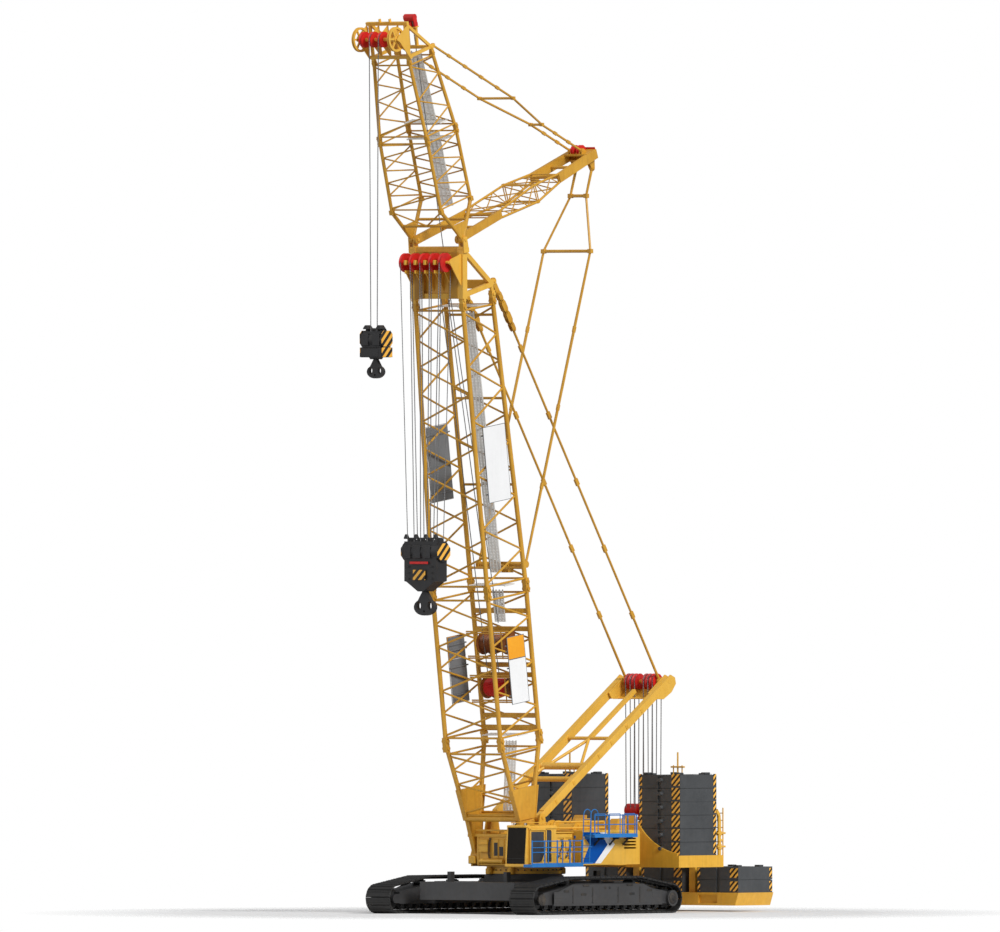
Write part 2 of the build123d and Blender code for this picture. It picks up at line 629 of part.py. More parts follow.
# ---- superstructure -------------------------------------------------------------------
def turntable_frame():
    """Two box girders with cross members, boom foot brackets and mast foot brackets."""
    inner = GIRDER_OUTER - GIRDER_WIDTH
    profile = [
        (DECK_FRONT - 250, DECK_BOTTOM), (DECK_FRONT, DECK_BOTTOM + 300), (DECK_FRONT, GIRDER_TOP),
        (-2100, GIRDER_TOP), (-2500, GIRDER_TOP - 450), (DECK_REAR + 900, GIRDER_TOP - 450),
        (DECK_REAR + 500, GIRDER_TOP + 600), (DECK_REAR, GIRDER_TOP + 600), (DECK_REAR, DECK_BOTTOM),
    ]
    frame = side_plate(profile, inner, GIRDER_OUTER) + side_plate(profile, -GIRDER_OUTER, -inner)
    frame += block(DECK_REAR, DECK_FRONT - 300, -inner - 10, inner + 10, DECK_BOTTOM, DECK_BOTTOM + FLOOR_PLATE)
    for x0, x1, z1 in ((DECK_FRONT - 260, DECK_FRONT, GIRDER_TOP), (-300, 300, GIRDER_TOP - 300),
                       (-2400, -2100, GIRDER_TOP - 500), (DECK_REAR, DECK_REAR + 200, GIRDER_TOP)):
        frame += block(x0, x1, -inner - 10, inner + 10, DECK_BOTTOM, z1)
    frame += Pos(0, 0, DECK_BOTTOM + FLOOR_PLATE / 2) * Cylinder(RING_RADIUS, FLOOR_PLATE)
    # boom foot brackets: an outer plate on each side, joined to the girder behind the foot
    inside = BOOM_FOOT_HALF - FOOT_BOSS_WIDTH / 2 - SIDE_GAP
    outside = BOOM_FOOT_HALF + FOOT_BOSS_WIDTH / 2 + SIDE_GAP
    back = BOOM_PIN_X - FOOT_BOSS_RADIUS - 130
    cheek = [
        (back - 400, DECK_BOTTOM), (BOOM_PIN_X + 150, DECK_BOTTOM), (BOOM_PIN_X + 290, BOOM_PIN_Z),
        (BOOM_PIN_X + 150, BOOM_PIN_Z + 330), (back, BOOM_PIN_Z + 420), (back - 400, BOOM_PIN_Z + 420),
    ]
    for side in (1, -1):
        frame += side_plate(cheek, side * outside, side * (outside + 60))
        frame += side_plate(cheek, side * (GIRDER_OUTER - 10), side * inside)
        frame += block(back - 400, back, side * (GIRDER_OUTER - 10), side * (outside + 10),
                       DECK_BOTTOM, BOOM_PIN_Z + 420)
        frame += across_y(BOOM_PIN_X, BOOM_PIN_Z, BOOM_PIN_RADIUS, side * (inside - 60),
                          side * (outside + 110))
        # mast foot clevis on top of the girder
        lug = [(MAST_PIN_X - 330, GIRDER_TOP - 50), (MAST_PIN_X + 330, GIRDER_TOP - 50),
               (MAST_PIN_X + 150, MAST_PIN_Z + 150), (MAST_PIN_X - 150, MAST_PIN_Z + 150)]
        gap = MAST_LEG_WIDTH / 2 + SIDE_GAP
        frame += block(MAST_PIN_X - 400, MAST_PIN_X + 400, side * (inner + 20),
                       side * (MAST_HALF + gap + 60), GIRDER_TOP - 150, GIRDER_TOP + 60)
        for y in (MAST_HALF - gap - 50, MAST_HALF + gap):
            frame += side_plate(lug, side * y, side * (y + 50))
        frame += across_y(MAST_PIN_X, MAST_PIN_Z, MAST_PIN_RADIUS, side * (MAST_HALF - gap - 90),
                          side * (MAST_HALF + gap + 90))
        # outrigger that carries the cab or the right-hand platform
        frame += block(200, 1500, side * (outside + 50), side * CAB_INNER, DECK_BOTTOM,
                       DECK_BOTTOM + 260)
    return frame


def house(front, rear, inner, outer, side):
    """A machinery house, hollow, with louvre slots in its outer wall."""
    y0, y1 = side * inner, side * outer
    shell = block(front, rear, y0, y1, HOUSE_BOTTOM, HOUSE_TOP)
    shell = chamfer(shell.edges().filter_by(Axis.X).sort_by(Axis.Z)[-2:], 70)
    hollow = block(front - HOUSE_WALL, rear + HOUSE_WALL, side * (inner + HOUSE_WALL),
                   side * (outer - HOUSE_WALL), HOUSE_BOTTOM + HOUSE_WALL, HOUSE_TOP - HOUSE_WALL)
    shell -= hollow
    slot_bottom, slot_height, slot_pitch = HOUSE_BOTTOM + 650, 70, 130
    for i in range(4):
        z = slot_bottom + i * slot_pitch
        shell -= block(rear + 250, rear + 1050, y1 - side * HOUSE_WALL * 1.5, y1 + side * 10, z,
                       z + slot_height)
    return shell


def hydraulic_cabinet():
    """Cabinet for valves and filters, on the walkway between the cab and the left house."""
    foot = LOWER_WALKWAY_TOP + SEAT
    box = block(CABINET_REAR, CABINET_FRONT, CABINET_INNER, CABINET_OUTER, foot, CABINET_TOP)
    box = chamfer(box.edges().filter_by(Axis.X).sort_by(Axis.Z)[-2:], 60)
    bay = (CABINET_FRONT - CABINET_REAR) / 3
    for i in range(3):
        x = CABINET_REAR + i * bay
        box -= block(x + 45, x + bay - 45, CABINET_OUTER - 40, CABINET_OUTER + 10, foot + 120,
                     CABINET_TOP - 200)
    return box


def engine_block():
    """The engine, one plain block on the house floor."""
    middle = (RIGHT_HOUSE_FRONT + RIGHT_HOUSE_REAR) / 2
    centre_y = -(HOUSE_INNER + RIGHT_HOUSE_OUTER) / 2
    floor = HOUSE_BOTTOM + HOUSE_WALL + SEAT
    return block(middle - ENGINE_LENGTH / 2, middle + ENGINE_LENGTH / 2, centre_y - ENGINE_WIDTH / 2,
                 centre_y + ENGINE_WIDTH / 2, floor, floor + ENGINE_HEIGHT)


def cab_outline(inset):
    """The cab's side outline, with the windscreen leaning back."""
    return [
        (CAB_REAR + inset, CAB_FLOOR + inset), (CAB_FRONT - inset, CAB_FLOOR + inset),
        (CAB_FRONT - inset, CAB_FLOOR + 350), (CAB_FRONT - CAB_SLOPE - inset, CAB_ROOF - 120),
        (CAB_FRONT - CAB_SLOPE - 160, CAB_ROOF - inset), (CAB_REAR + inset, CAB_ROOF - inset),
    ]


def cab_windows_at():
    """Fixed window openings: name, x0, x1, y0, y1, z0, z1."""
    pillar = 70
    return [
        ("front", CAB_FRONT - 400, CAB_FRONT + 50, CAB_INNER + pillar, CAB_OUTER - pillar,
         CAB_FLOOR + 150, WINDOW_TOP + 40),
        ("quarter", CAB_REAR + 330, DOOR_REAR - 90, CAB_OUTER - 100, CAB_OUTER + 50,
         CAB_FLOOR + 330, WINDOW_TOP),
        ("right", CAB_REAR + 400, CAB_FRONT - 420, CAB_INNER - 50, CAB_INNER + 100, WINDOW_BOTTOM,
         WINDOW_TOP),
        ("rear", CAB_REAR - 50, CAB_REAR + 100, CAB_INNER + 160, CAB_OUTER - 160, WINDOW_BOTTOM + 200,
         WINDOW_TOP),
        ("roof", CAB_REAR + 700, CAB_FRONT - 600, CAB_INNER + 200, CAB_OUTER - 200, CAB_ROOF - 100,
         CAB_ROOF + 50),
    ]


def cab_shell():
    """Hollow cab with window openings and a doorway on its left side."""
    shell = side_plate(cab_outline(0), CAB_INNER, CAB_OUTER)
    shell -= side_plate(cab_outline(CAB_WALL), CAB_INNER + CAB_WALL, CAB_OUTER - CAB_WALL)
    for name, x0, x1, y0, y1, z0, z1 in cab_windows_at():
        shell -= block(x0, x1, y0, y1, z0, z1)
    shell -= block(DOOR_REAR + 70, DOOR_FRONT - 70, CAB_OUTER - 100, CAB_OUTER + 50, DOOR_BOTTOM + 60,
                   DOOR_TOP - 60)
    for z in (DOOR_BOTTOM - SEAT - 50, DOOR_TOP + SEAT):
        shell += block(CAB_REAR, DOOR_FRONT, CAB_OUTER - 10, CAB_OUTER + DOOR_GAP + DOOR_THICKNESS, z,
                       z + 50)
    return shell


def cab_windows():
    """Fixed panes, set in the middle of the walls."""
    room = SEAT
    panes = []
    for name, x0, x1, y0, y1, z0, z1 in cab_windows_at():
        if name in ("quarter", "right"):
            middle = CAB_OUTER - CAB_WALL / 2 if name == "quarter" else CAB_INNER + CAB_WALL / 2
            panes.append(block(x0 + room, x1 - room, middle - GLASS / 2, middle + GLASS / 2, z0 + room,
                               z1 - room))
        elif name == "rear":
            middle = CAB_REAR + CAB_WALL / 2
            panes.append(block(middle - GLASS / 2, middle + GLASS / 2, y0 + room, y1 - room, z0 + room,
                               z1 - room))
        elif name == "roof":
            middle = CAB_ROOF - CAB_WALL / 2
            panes.append(block(x0 + room, x1 - room, y0 + room, y1 - room, middle - GLASS / 2,
                               middle + GLASS / 2))
        else:
            panes.append(windscreen(y0 + room, y1 - room, z0 + room, z1 - room))
    return apart(panes)


def windscreen(y0, y1, z0, z1):
    """The front pane follows the upright foot and the leaning upper part of the front wall."""
    knee_z, top_z = CAB_FLOOR + 350, CAB_ROOF - 120
    slope = CAB_SLOPE / (top_z - knee_z)
    face = CAB_FRONT - CAB_WALL / 2
    top_x = face - slope * (z1 - knee_z)
    outline = [(face, z0), (face, knee_z), (top_x, z1), (top_x - GLASS, z1), (face - GLASS, knee_z),
               (face - GLASS, z0)]
    return side_plate(outline, y0, y1)


def door_window():
    """The door pane's opening: x0, x1, z0, z1."""
    return DOOR_REAR + 130, DOOR_FRONT - 150, DOOR_BOTTOM + 130, DOOR_TOP - 130


def cab_door():
    """Sliding door that runs outside the cab's left wall."""
    y0 = CAB_OUTER + DOOR_GAP
    x0, x1, z0, z1 = door_window()
    door = block(DOOR_REAR, DOOR_FRONT, y0, y0 + DOOR_THICKNESS, DOOR_BOTTOM, DOOR_TOP)
    door = fillet(door.edges().filter_by(Axis.Y), 60)
    door -= block(x0, x1, y0 - 10, y0 + DOOR_THICKNESS + 10, z0, z1)
    handle = block(x1 + 50, x1 + 90, y0 + DOOR_THICKNESS - 5, y0 + DOOR_THICKNESS + 45, 2750, 2990)
    return door + handle


def cab_door_window():
    """The door's pane."""
    x0, x1, z0, z1 = door_window()
    middle = CAB_OUTER + DOOR_GAP + DOOR_THICKNESS / 2
    return block(x0 + SEAT, x1 - SEAT, middle - GLASS / 2, middle + GLASS / 2,
                 z0 + SEAT, z1 - SEAT)


def operator_seat():
    """Seat on its pedestal with a backrest, armrests and a control console."""
    middle = (CAB_INNER + CAB_OUTER) / 2
    floor = CAB_FLOOR + CAB_WALL + SEAT
    seat_x = CAB_REAR + 620
    seat = block(seat_x - 160, seat_x + 160, middle - 160, middle + 160, floor, floor + 360)
    seat += fillet(block(seat_x - 260, seat_x + 260, middle - 250, middle + 250, floor + 350,
                         floor + 500).edges(), 40)
    back = Pos(seat_x - 250, middle, floor + 800) * Rot(0, -8, 0) * Box(130, 480, 720)
    seat += fillet(back.edges(), 40)
    for y in (-300, 300):
        seat += block(seat_x - 200, seat_x + 280, middle + y - 45, middle + y + 45, floor + 600,
                      floor + 680)
        seat += block(seat_x + 60, seat_x + 160, middle + y - 40, middle + y + 40, floor + 400,
                      floor + 620)
        seat += block(seat_x + 60, seat_x + 160, middle + y * 0.75 - 60, middle + y * 0.75 + 60,
                      floor + 400, floor + 470)
    return seat


# ---- walkways -------------------------------------------------------------------------


def walkway_plates():
    """Platforms: x0, x1, y0, y1, top, height of the rail; the first two join beside the cab."""
    return [
        (120, 3500, CAB_WALK_INNER, WALKWAY_OUTER, LOWER_WALKWAY_TOP, RAIL_HEIGHT),
        (-300, 1160, CAB_INNER, CAB_WALK_INNER + 10, LOWER_WALKWAY_TOP, 0),
        (-3500, -650, LEFT_HOUSE_OUTER + SEAT, WALKWAY_OUTER, UPPER_WALKWAY_TOP, UPPER_RAIL_HEIGHT),
        (-4100, -700, -RIGHT_HOUSE_OUTER - 750, -RIGHT_HOUSE_OUTER - SEAT, UPPER_WALKWAY_TOP - 900,
         RAIL_HEIGHT),
    ]


def walkways():
    """Walkway plates with toe edges."""
    plates = []
    for x0, x1, y0, y1, top, _ in walkway_plates():
        plate = block(x0, x1, y0, y1, top - WALKWAY_THICKNESS, top)
        plates.append(plate - block(x0 + 60, x1 - 60, y0 + 60, y1 - 60, top - 20, top + 10))
    return apart([plates[0] + plates[1]] + plates[2:])


def rail_run(points, base, height):
    """A run of handrail: posts at the points, two long rails between them."""
    pieces = [lace((x, y, base), (x, y, base + height), POST_RADIUS) for x, y in points]
    for (xa, ya), (xb, yb) in zip(points, points[1:]):
        for share in (0.5, 0.96):
            z = base + height * share
            pieces.append(lace((xa, ya, z), (xb, yb, z), RAIL_RADIUS))
    return fuse(pieces)


def handrails():
    """Rails along the outer edges of every walkway."""
    runs = []
    for x0, x1, y0, y1, top, height in walkway_plates():
        if height == 0:
            continue
        edge = y1 - 30 if y1 > 0 else y0 + 30
        inner = y0 + 60 if y1 > 0 else y1 - 60
        count = max(1, round((x1 - x0) / RAIL_POST_PITCH))
        line = [(x1 - 30 - (x1 - x0 - 60) * i / count, edge) for i in range(count + 1)]
        if height == UPPER_RAIL_HEIGHT:
            line = line + [(x0 + 30, inner)]
        runs.append(rail_run(line, top, height))
    return apart(runs)


def drum(x, z, half, radius, flange):
    """A winch drum along Y with its end flanges."""
    body = across_y(x, z, radius, -half, half)
    for side in (-1, 1):
        body += across_y(x, z, flange, side * half, side * (half + 45))
    return body


def deck_winches():
    """Hoist and luffing winches between the girders, each on its bearing plates."""
    inner = GIRDER_OUTER - GIRDER_WIDTH
    pieces = []
    for x, z, radius in ((-1150, 3420, 330), (-3000, 3330, 380), (-3950, 3150, 300)):
        half = inner - 190
        flange = radius + 130
        winch = drum(x, z, half, radius, flange)
        for side in (-1, 1):
            stand = [(x - 300, DECK_BOTTOM + FLOOR_PLATE + SEAT),
                     (x + 300, DECK_BOTTOM + FLOOR_PLATE + SEAT),
                     (x + 330, z), (x + 180, z + 330), (x - 180, z + 330), (x - 330, z)]
            winch += side_plate(stand, side * (half + 40), side * (half + 120))
        pieces.append(winch)
    return apart(pieces)


def boom_hoist_sheaves():
    """Lower sheave block of the boom hoist, on top of the rear frame."""
    x, z = MAST_HEAD_X, HOIST_BLOCK_Z
    pieces = []
    for y in (-HOIST_GROUP, HOIST_GROUP):
        guard = across_y(x, z, 290, y - 330, y + 330)
        guard -= block(x - 400, x + 400, y - 400, y + 400, z - 500, z - 180)
        pieces.append(guard)
        for edge in (y - 370, y + 330):
            pieces.append(block(x - 180, x + 180, edge, edge + 40, HOIST_SEAT + SEAT, z + 100))
    pieces.append(across_y(x, z, 90, -HOIST_GROUP - 400, HOIST_GROUP + 400))
    pieces.append(block(x - 200, x + 200, -HOIST_GROUP - 370, HOIST_GROUP + 370,
                        HOIST_SEAT + SEAT, HOIST_SEAT + 60))
    return fuse(pieces)


# ---- ballast --------------------------------------------------------------------------


def cantilever_outline():
    """The tray's front bracket, in Y and Z, with its concave upper edge."""
    root_y, root_z = 1000, 4040
    tip_y, tip_z = 3900, TRAY_TOP + 100
    edge = [Line((root_y, TRAY_BOTTOM), (root_y, root_z)),
            Line((root_y, root_z), (STACK_INNER - 200, root_z)),
            ThreePointArc((STACK_INNER - 200, root_z), (2400, 3080), (tip_y, tip_z)),
            Line((tip_y, tip_z), (tip_y, TRAY_BOTTOM)),
            Line((tip_y, TRAY_BOTTOM), (root_y, TRAY_BOTTOM))]
    return make_face(Wire(edge))


def ballast_tray():
    """Tray under both upper stacks, front cantilever brackets and the hoist block's frame."""
    wing = TRAY_HALF_WIDTH
    tray = block(TRAY_REAR, TRAY_FRONT, -wing, wing, TRAY_BOTTOM, TRAY_TOP)
    recess = 120
    for y0, y1 in ((STACK_INNER + 400, wing - 90), (-wing + 90, -STACK_INNER - 400)):
        tray -= block(TRAY_REAR - 10, TRAY_REAR + recess, y0, y1, TRAY_BOTTOM + 90, TRAY_TOP - 90)
    bracket = Plane.YZ * cantilever_outline()
    thickness = STACK_FRONT - TRAY_FRONT
    bracket = Pos(TRAY_FRONT + thickness, 0, 0) * extrude(bracket, -thickness)
    tray += bracket + mirror(bracket, Plane.XZ)
    seat = HOIST_SEAT
    for side in (1, -1):
        web = [(TRAY_FRONT, TRAY_TOP - 20), (TRAY_FRONT, 3700), (MAST_HEAD_X + 350, seat),
               (MAST_HEAD_X - 250, seat), (TRAY_REAR, TRAY_TOP + 200), (TRAY_REAR, TRAY_TOP - 20)]
        tray += side_plate(web, side * 900, side * 1010)
    tray += block(MAST_HEAD_X - 240, MAST_HEAD_X + 240, -910, 910, seat - 80, seat)
    return tray


def stack_blocks(x0, x1, y0, y1, base, height, count):
    """A pile of ballast plates, grooved at each joint and notched at the middle of each end."""
    pieces = []
    top = base + height * count
    pile = block(x0, x1, y0, y1, base, top)
    middle = (y0 + y1) / 2
    notch = 60
    pile -= block(x1 - notch, x1 + 10, middle - 90, middle + 90, base - 10, top + 10)
    pile -= block(x0 - 10, x0 + notch, middle - 90, middle + 90, base - 10, top + 10)
    inset = BLOCK_GROOVE
    for i in range(1, count):
        z = base + height * i
        groove = block(x0 - 10, x1 + 10, y0 - 10, y1 + 10, z - inset / 2, z + inset / 2)
        groove -= block(x0 + inset + notch, x1 - inset - notch, y0 + inset, y1 - inset, z - inset,
                        z + inset)
        pile -= groove
    for x in (x0 + 420, x1 - 420):
        for y in (y0 + 380, y1 - 380):
            pile += block(x - 130, x + 130, y - 130, y + 130, top - 10, top + 70)
    return pile


def ballast_stack(side):
    """Upper ballast stack on one side of the tray."""
    y0, y1 = sorted((side * STACK_INNER, side * TRAY_HALF_WIDTH))
    return stack_blocks(STACK_REAR, STACK_FRONT - 1, y0, y1, TRAY_TOP, BLOCK_HEIGHT, BLOCK_COUNT)


def ballast_posts():
    """Tie rods that stand up from the middle of each upper stack, with a cross head."""
    pieces = []
    top = TRAY_TOP + BLOCK_HEIGHT * BLOCK_COUNT
    x = (STACK_FRONT + STACK_REAR) / 2
    y = (STACK_INNER + TRAY_HALF_WIDTH) / 2
    for side in (1, -1):
        middle = side * y
        post = bar((x, middle, top), (x, middle, top + 940), 35)
        post += block(x - 50, x + 50, middle - 340, middle + 340, top + 290, top + 360)
        for step in (-230, 230):
            post += bar((x, middle + step, top), (x, middle + step, top + 400), 25)
        pieces.append(post)
    return apart(pieces)


def rear_ladder():
    """Access ladder at the tray's left rear corner, with a bent handrail."""
    x = TRAY_REAR - 60
    y0, y1 = TRAY_HALF_WIDTH - 480, TRAY_HALF_WIDTH - 60
    bottom, top = TRAY_BOTTOM, 4350
    pieces = [lace((x, y, bottom), (x, y, top), 28) for y in (y0, y1)]
    for i in range(8):
        z = bottom + 150 + i * 300
        pieces.append(lace((x, y0, z), (x, y1, z), 18))
    for z in (TRAY_BOTTOM + 60, TRAY_TOP - 60):
        pieces += [block(TRAY_REAR, x + 20, y - 30, y + 30, z - 30, z + 30) for y in (y0, y1)]
    pieces.append(bar((x, y1, 3000), (x + 260, y1, 3000), 40))
    pieces.append(bar((x + 260, y1, 2960), (x + 260, y1, 4000), 60))
    pieces.append(bar((x + 260, y1, 4000), (x + 420, y1, 4180), 60))
    return fuse(pieces)


def lower_stack_centres():
    """Centres of the lower ballast stacks along Y."""
    return [-LOWER_STACK_PITCH, 0, LOWER_STACK_PITCH]


def lower_ballast_tray():
    """Tray of the lower rear ballast with sloping ends, hung from two carrier beams."""
    slope = 180
    end = LOWER_HALF_WIDTH
    outline = [(-end + slope, LOWER_TRAY_BOTTOM), (end - slope, LOWER_TRAY_BOTTOM),
               (end, LOWER_TRAY_TOP), (-end, LOWER_TRAY_TOP)]
    face = Plane.YZ * make_face(Polyline(*outline, close=True))
    tray = Pos(LOWER_REAR, 0, 0) * extrude(face, LOWER_FRONT - LOWER_REAR)
    for y in (-2500, -600, 600, 2500):
        for x in (LOWER_FRONT, LOWER_REAR + 90):
            tray -= block(x - 90, x, y - 500, y + 500, LOWER_TRAY_BOTTOM + 110, LOWER_TRAY_TOP - 90)
    beam_top = TRAY_TOP - 60
    beam_bottom = beam_top - CARRIER_HEIGHT
    for side in (1, -1):
        y = side * LOWER_STACK_PITCH / 2
        tray += block(LOWER_REAR + 400, TRAY_REAR, y - CARRIER_WIDTH / 2, y + CARRIER_WIDTH / 2,
                      beam_bottom, beam_top)
        for x in (LOWER_FRONT - 350, LOWER_REAR + 600):
            tray += block(x - 150, x + 150, y - CARRIER_WIDTH / 2, y + CARRIER_WIDTH / 2,
                          LOWER_TRAY_TOP - 10, beam_bottom + 10)
    return tray


def lower_ballast_blocks():
    """Three short stacks on the lower tray."""
    half = LOWER_STACK_WIDTH / 2
    edge = 40
    stacks = [
        stack_blocks(LOWER_REAR + edge, LOWER_FRONT - edge, y - half, y + half, LOWER_TRAY_TOP,
                     LOWER_BLOCK_HEIGHT, LOWER_BLOCK_ROWS)
        for y in lower_stack_centres()
    ]
    return apart(stacks)


# ---- main boom ------------------------------------------------------------------------


def boom_foot():
    """Boom foot section: chords that close on the two foot eyes, with side plates."""
    plate_end = 1750
    pieces = []
    share = plate_end / FOOT_LENGTH
    start = (plate_end - 300) / FOOT_LENGTH
    top = corners(BOOM_HALF_DEPTH, BOOM_HALF_WIDTH, FOOT_LENGTH)
    feet = [(0, y, 0) for y in (-BOOM_FOOT_HALF, BOOM_FOOT_HALF, BOOM_FOOT_HALF, -BOOM_FOOT_HALF)]
    low = [between(foot, point, start) for foot, point in zip(feet, top)]
    pieces += lattice(low, top, CHORD_RADIUS, LACING_RADIUS, 4, 400, CHORD_TRIM)
    pieces += connectors(top, CONNECTOR, -1)
    for side in (1, -1):
        depth = BOOM_HALF_DEPTH * share
        y = side * BOOM_FOOT_HALF
        outline = [(-170, 0), (170, 0), (depth + 60, plate_end), (-depth - 60, plate_end)]
        thickness = FOOT_BOSS_WIDTH - 60
        pieces.append(side_plate(outline, y - thickness / 2, y + thickness / 2))
        pieces.append(across_y(0, 0, FOOT_BOSS_RADIUS, y - FOOT_BOSS_WIDTH / 2, y + FOOT_BOSS_WIDTH / 2))
    for x, z in ((BOOM_HALF_DEPTH * share, plate_end - 60), (-BOOM_HALF_DEPTH * share, plate_end - 60)):
        pieces.append(across_y(x, z, 110, -BOOM_FOOT_HALF, BOOM_FOOT_HALF))
    section = fuse(pieces)
    for side in (1, -1):
        y = side * BOOM_FOOT_HALF
        section -= across_y(0, 0, BOOM_PIN_RADIUS + BORE_CLEARANCE, y - 400, y + 400)
    return BOOM * section


def boom_base():
    """Parallel section with the cross beams that carry two winches."""
    low = corners(BOOM_HALF_DEPTH, BOOM_HALF_WIDTH, FOOT_LENGTH)
    high = corners(BOOM_HALF_DEPTH, BOOM_HALF_WIDTH, BOOM_BASE_END)
    pieces = lattice(low, high, CHORD_RADIUS, LACING_RADIUS, 6, 290, CHORD_TRIM)
    pieces += connectors(low, CONNECTOR, 1) + connectors(high, CONNECTOR, -1)
    for along in WINCH_BEAMS:
        pieces.append(block(-BOOM_HALF_DEPTH - 55, -BOOM_HALF_DEPTH + 60, -BOOM_HALF_WIDTH,
                            BOOM_HALF_WIDTH, along - BEAM_DEPTH / 2, along + BEAM_DEPTH / 2))
    return BOOM * fuse(pieces)


def boom_taper():
    """Tapered upper section of the boom."""
    low = corners(BOOM_HALF_DEPTH, BOOM_HALF_WIDTH, BOOM_BASE_END)
    high = corners(TOP_HALF_DEPTH, TOP_HALF_WIDTH, BOOM_TOP_END)
    pieces = lattice(low, high, CHORD_RADIUS, LACING_RADIUS, 10, 290, CHORD_TRIM)
    pieces += connectors(low, CONNECTOR, 1) + connectors(high, CONNECTOR, -1)
    for share in CATWALK_BARS:
        x, y, z = between(low[2], high[2], share)
        pieces.append(across_y(x, z, CATWALK_BAR_RADIUS, -y, y))
    return BOOM * fuse(pieces)


def boom_head():
    """Boom head: frame, sheave hangers, jib foot lugs and pendant lugs."""
    base = BOOM_TOP_END
    top = base + HEAD_LENGTH
    front, rear = TOP_HALF_DEPTH, -TOP_HALF_DEPTH
    half = TOP_HALF_WIDTH
    post = 300
    pieces = connectors(corners(TOP_HALF_DEPTH, TOP_HALF_WIDTH, base), CONNECTOR, 1)
    rear_z = base + 560
    for side in (1, -1):
        y = side * half
        pieces.append(beam((front, y, base + 200), (HEAD_TOP_OFFSET, y, top), post, post))
        pieces.append(bar((rear, y, base + 150), (rear, y, rear_z), CHORD_RADIUS))
        pieces.append(beam((front, y, base + 330), (rear, y, rear_z), 160, 200))
        pieces.append(beam((rear, y, rear_z), (HEAD_TOP_OFFSET, y, top - 150), 160, 200))
        # jib foot clevis
        inner = JIB_FOOT_HALF - JIB_EYE_WIDTH / 2 - SIDE_GAP
        outer = JIB_FOOT_HALF + JIB_EYE_WIDTH / 2 + SIDE_GAP
        lug = [(HEAD_TOP_OFFSET - 170, top - 250), (HEAD_TOP_OFFSET + 170, top - 250),
               (JIB_PIN_OFFSET + 120, JIB_PIN_ALONG + 100), (JIB_PIN_OFFSET - 120, JIB_PIN_ALONG + 100)]
        for y0 in (inner - 50, outer):
            pieces.append(side_plate(lug, side * y0, side * (y0 + 50)))
        pieces.append(across_y(JIB_PIN_OFFSET, JIB_PIN_ALONG, JIB_PIN_RADIUS,
                               side * (STRUT_FOOT_HALF - 110), side * (outer + 90)))
        pieces.append(block(HEAD_TOP_OFFSET - 170, HEAD_TOP_OFFSET + 170, side * (inner - 50),
                            side * (outer + 50), top - 250, top - 60))
        # pendant lug behind the rear beam
        for y0 in (PENDANT_HALF - LINK_WIDTH / 2 - SIDE_GAP - 40, PENDANT_HALF + LINK_WIDTH / 2 + SIDE_GAP):
            plate = [(rear - 60, rear_z - 180), (rear - 60, rear_z + 180),
                     (PENDANT_OFFSET - 90, PENDANT_ALONG + 80), (PENDANT_OFFSET - 90, PENDANT_ALONG - 80)]
            pieces.append(side_plate(plate, side * y0, side * (y0 + 40)))
        pieces.append(across_y(PENDANT_OFFSET, PENDANT_ALONG, LINK_PIN_RADIUS, side * (PENDANT_HALF - 110),
                               side * (PENDANT_HALF + 110)))
    pieces.append(block(HEAD_TOP_OFFSET - 130, HEAD_TOP_OFFSET + 130, -half, half, top - 200, top))
    pieces.append(beam((front, -half, base + 330), (front, half, base + 330), 220, 220))
    pieces.append(beam((rear, -half, rear_z), (rear, half, rear_z), 200, 360))
    panel_low, panel_high = base + 430, top - 150
    panel = [(front - 60, panel_low), (front - 110, panel_low), (HEAD_TOP_OFFSET - 40, panel_high),
             (HEAD_TOP_OFFSET + 10, panel_high)]
    pieces.append(side_plate(panel, -half, half))
    # hangers between the main sheaves, with the sheave shaft
    hangers = SHEAVE_COUNT + 1
    for i in range(hangers):
        y = (i - SHEAVE_COUNT / 2) * SHEAVE_PITCH
        hanger = [(HEAD_TOP_OFFSET, top - 250), (SHEAVE_OFFSET - 60, SHEAVE_ALONG + 130),
                  (SHEAVE_OFFSET + 130, SHEAVE_ALONG), (SHEAVE_OFFSET - 60, SHEAVE_ALONG - 150),
                  (front - 80, base + 500)]
        pieces.append(side_plate(hanger, y - 20, y + 20))
    reach = SHEAVE_COUNT * SHEAVE_PITCH / 2 + 60
    pieces.append(across_y(SHEAVE_OFFSET, SHEAVE_ALONG, SHAFT_RADIUS, -reach, reach))
    return BOOM * fuse(pieces)


def boom_winches():
    """Two hoist winches inside the boom's base section, each between bearing plates."""
    winches = []
    face = -BOOM_HALF_DEPTH + 60
    for along, low, high in ((7050, 5800, 7930), (8900, 8020, 9440)):
        low_edge, high_edge = along - WINCH_FLANGE - 60, along + WINCH_FLANGE + 60
        winch = across_y(WINCH_OFFSET, along, WINCH_RADIUS, -WINCH_HALF_WIDTH, WINCH_HALF_WIDTH)
        for side in (1, -1):
            inner, outer = WINCH_HALF_WIDTH, WINCH_HALF_WIDTH + 40
            winch += across_y(WINCH_OFFSET, along, WINCH_FLANGE, side * inner, side * outer)
            stand = [(face + SEAT, low_edge), (WINCH_OFFSET + 120, along - 200),
                     (WINCH_OFFSET + 160, along), (WINCH_OFFSET + 120, along + 200),
                     (face + SEAT, high_edge)]
            winch += side_plate(stand, side * (outer - 5), side * (outer + 55))
        winches.append(winch)
    return BOOM * apart(winches)


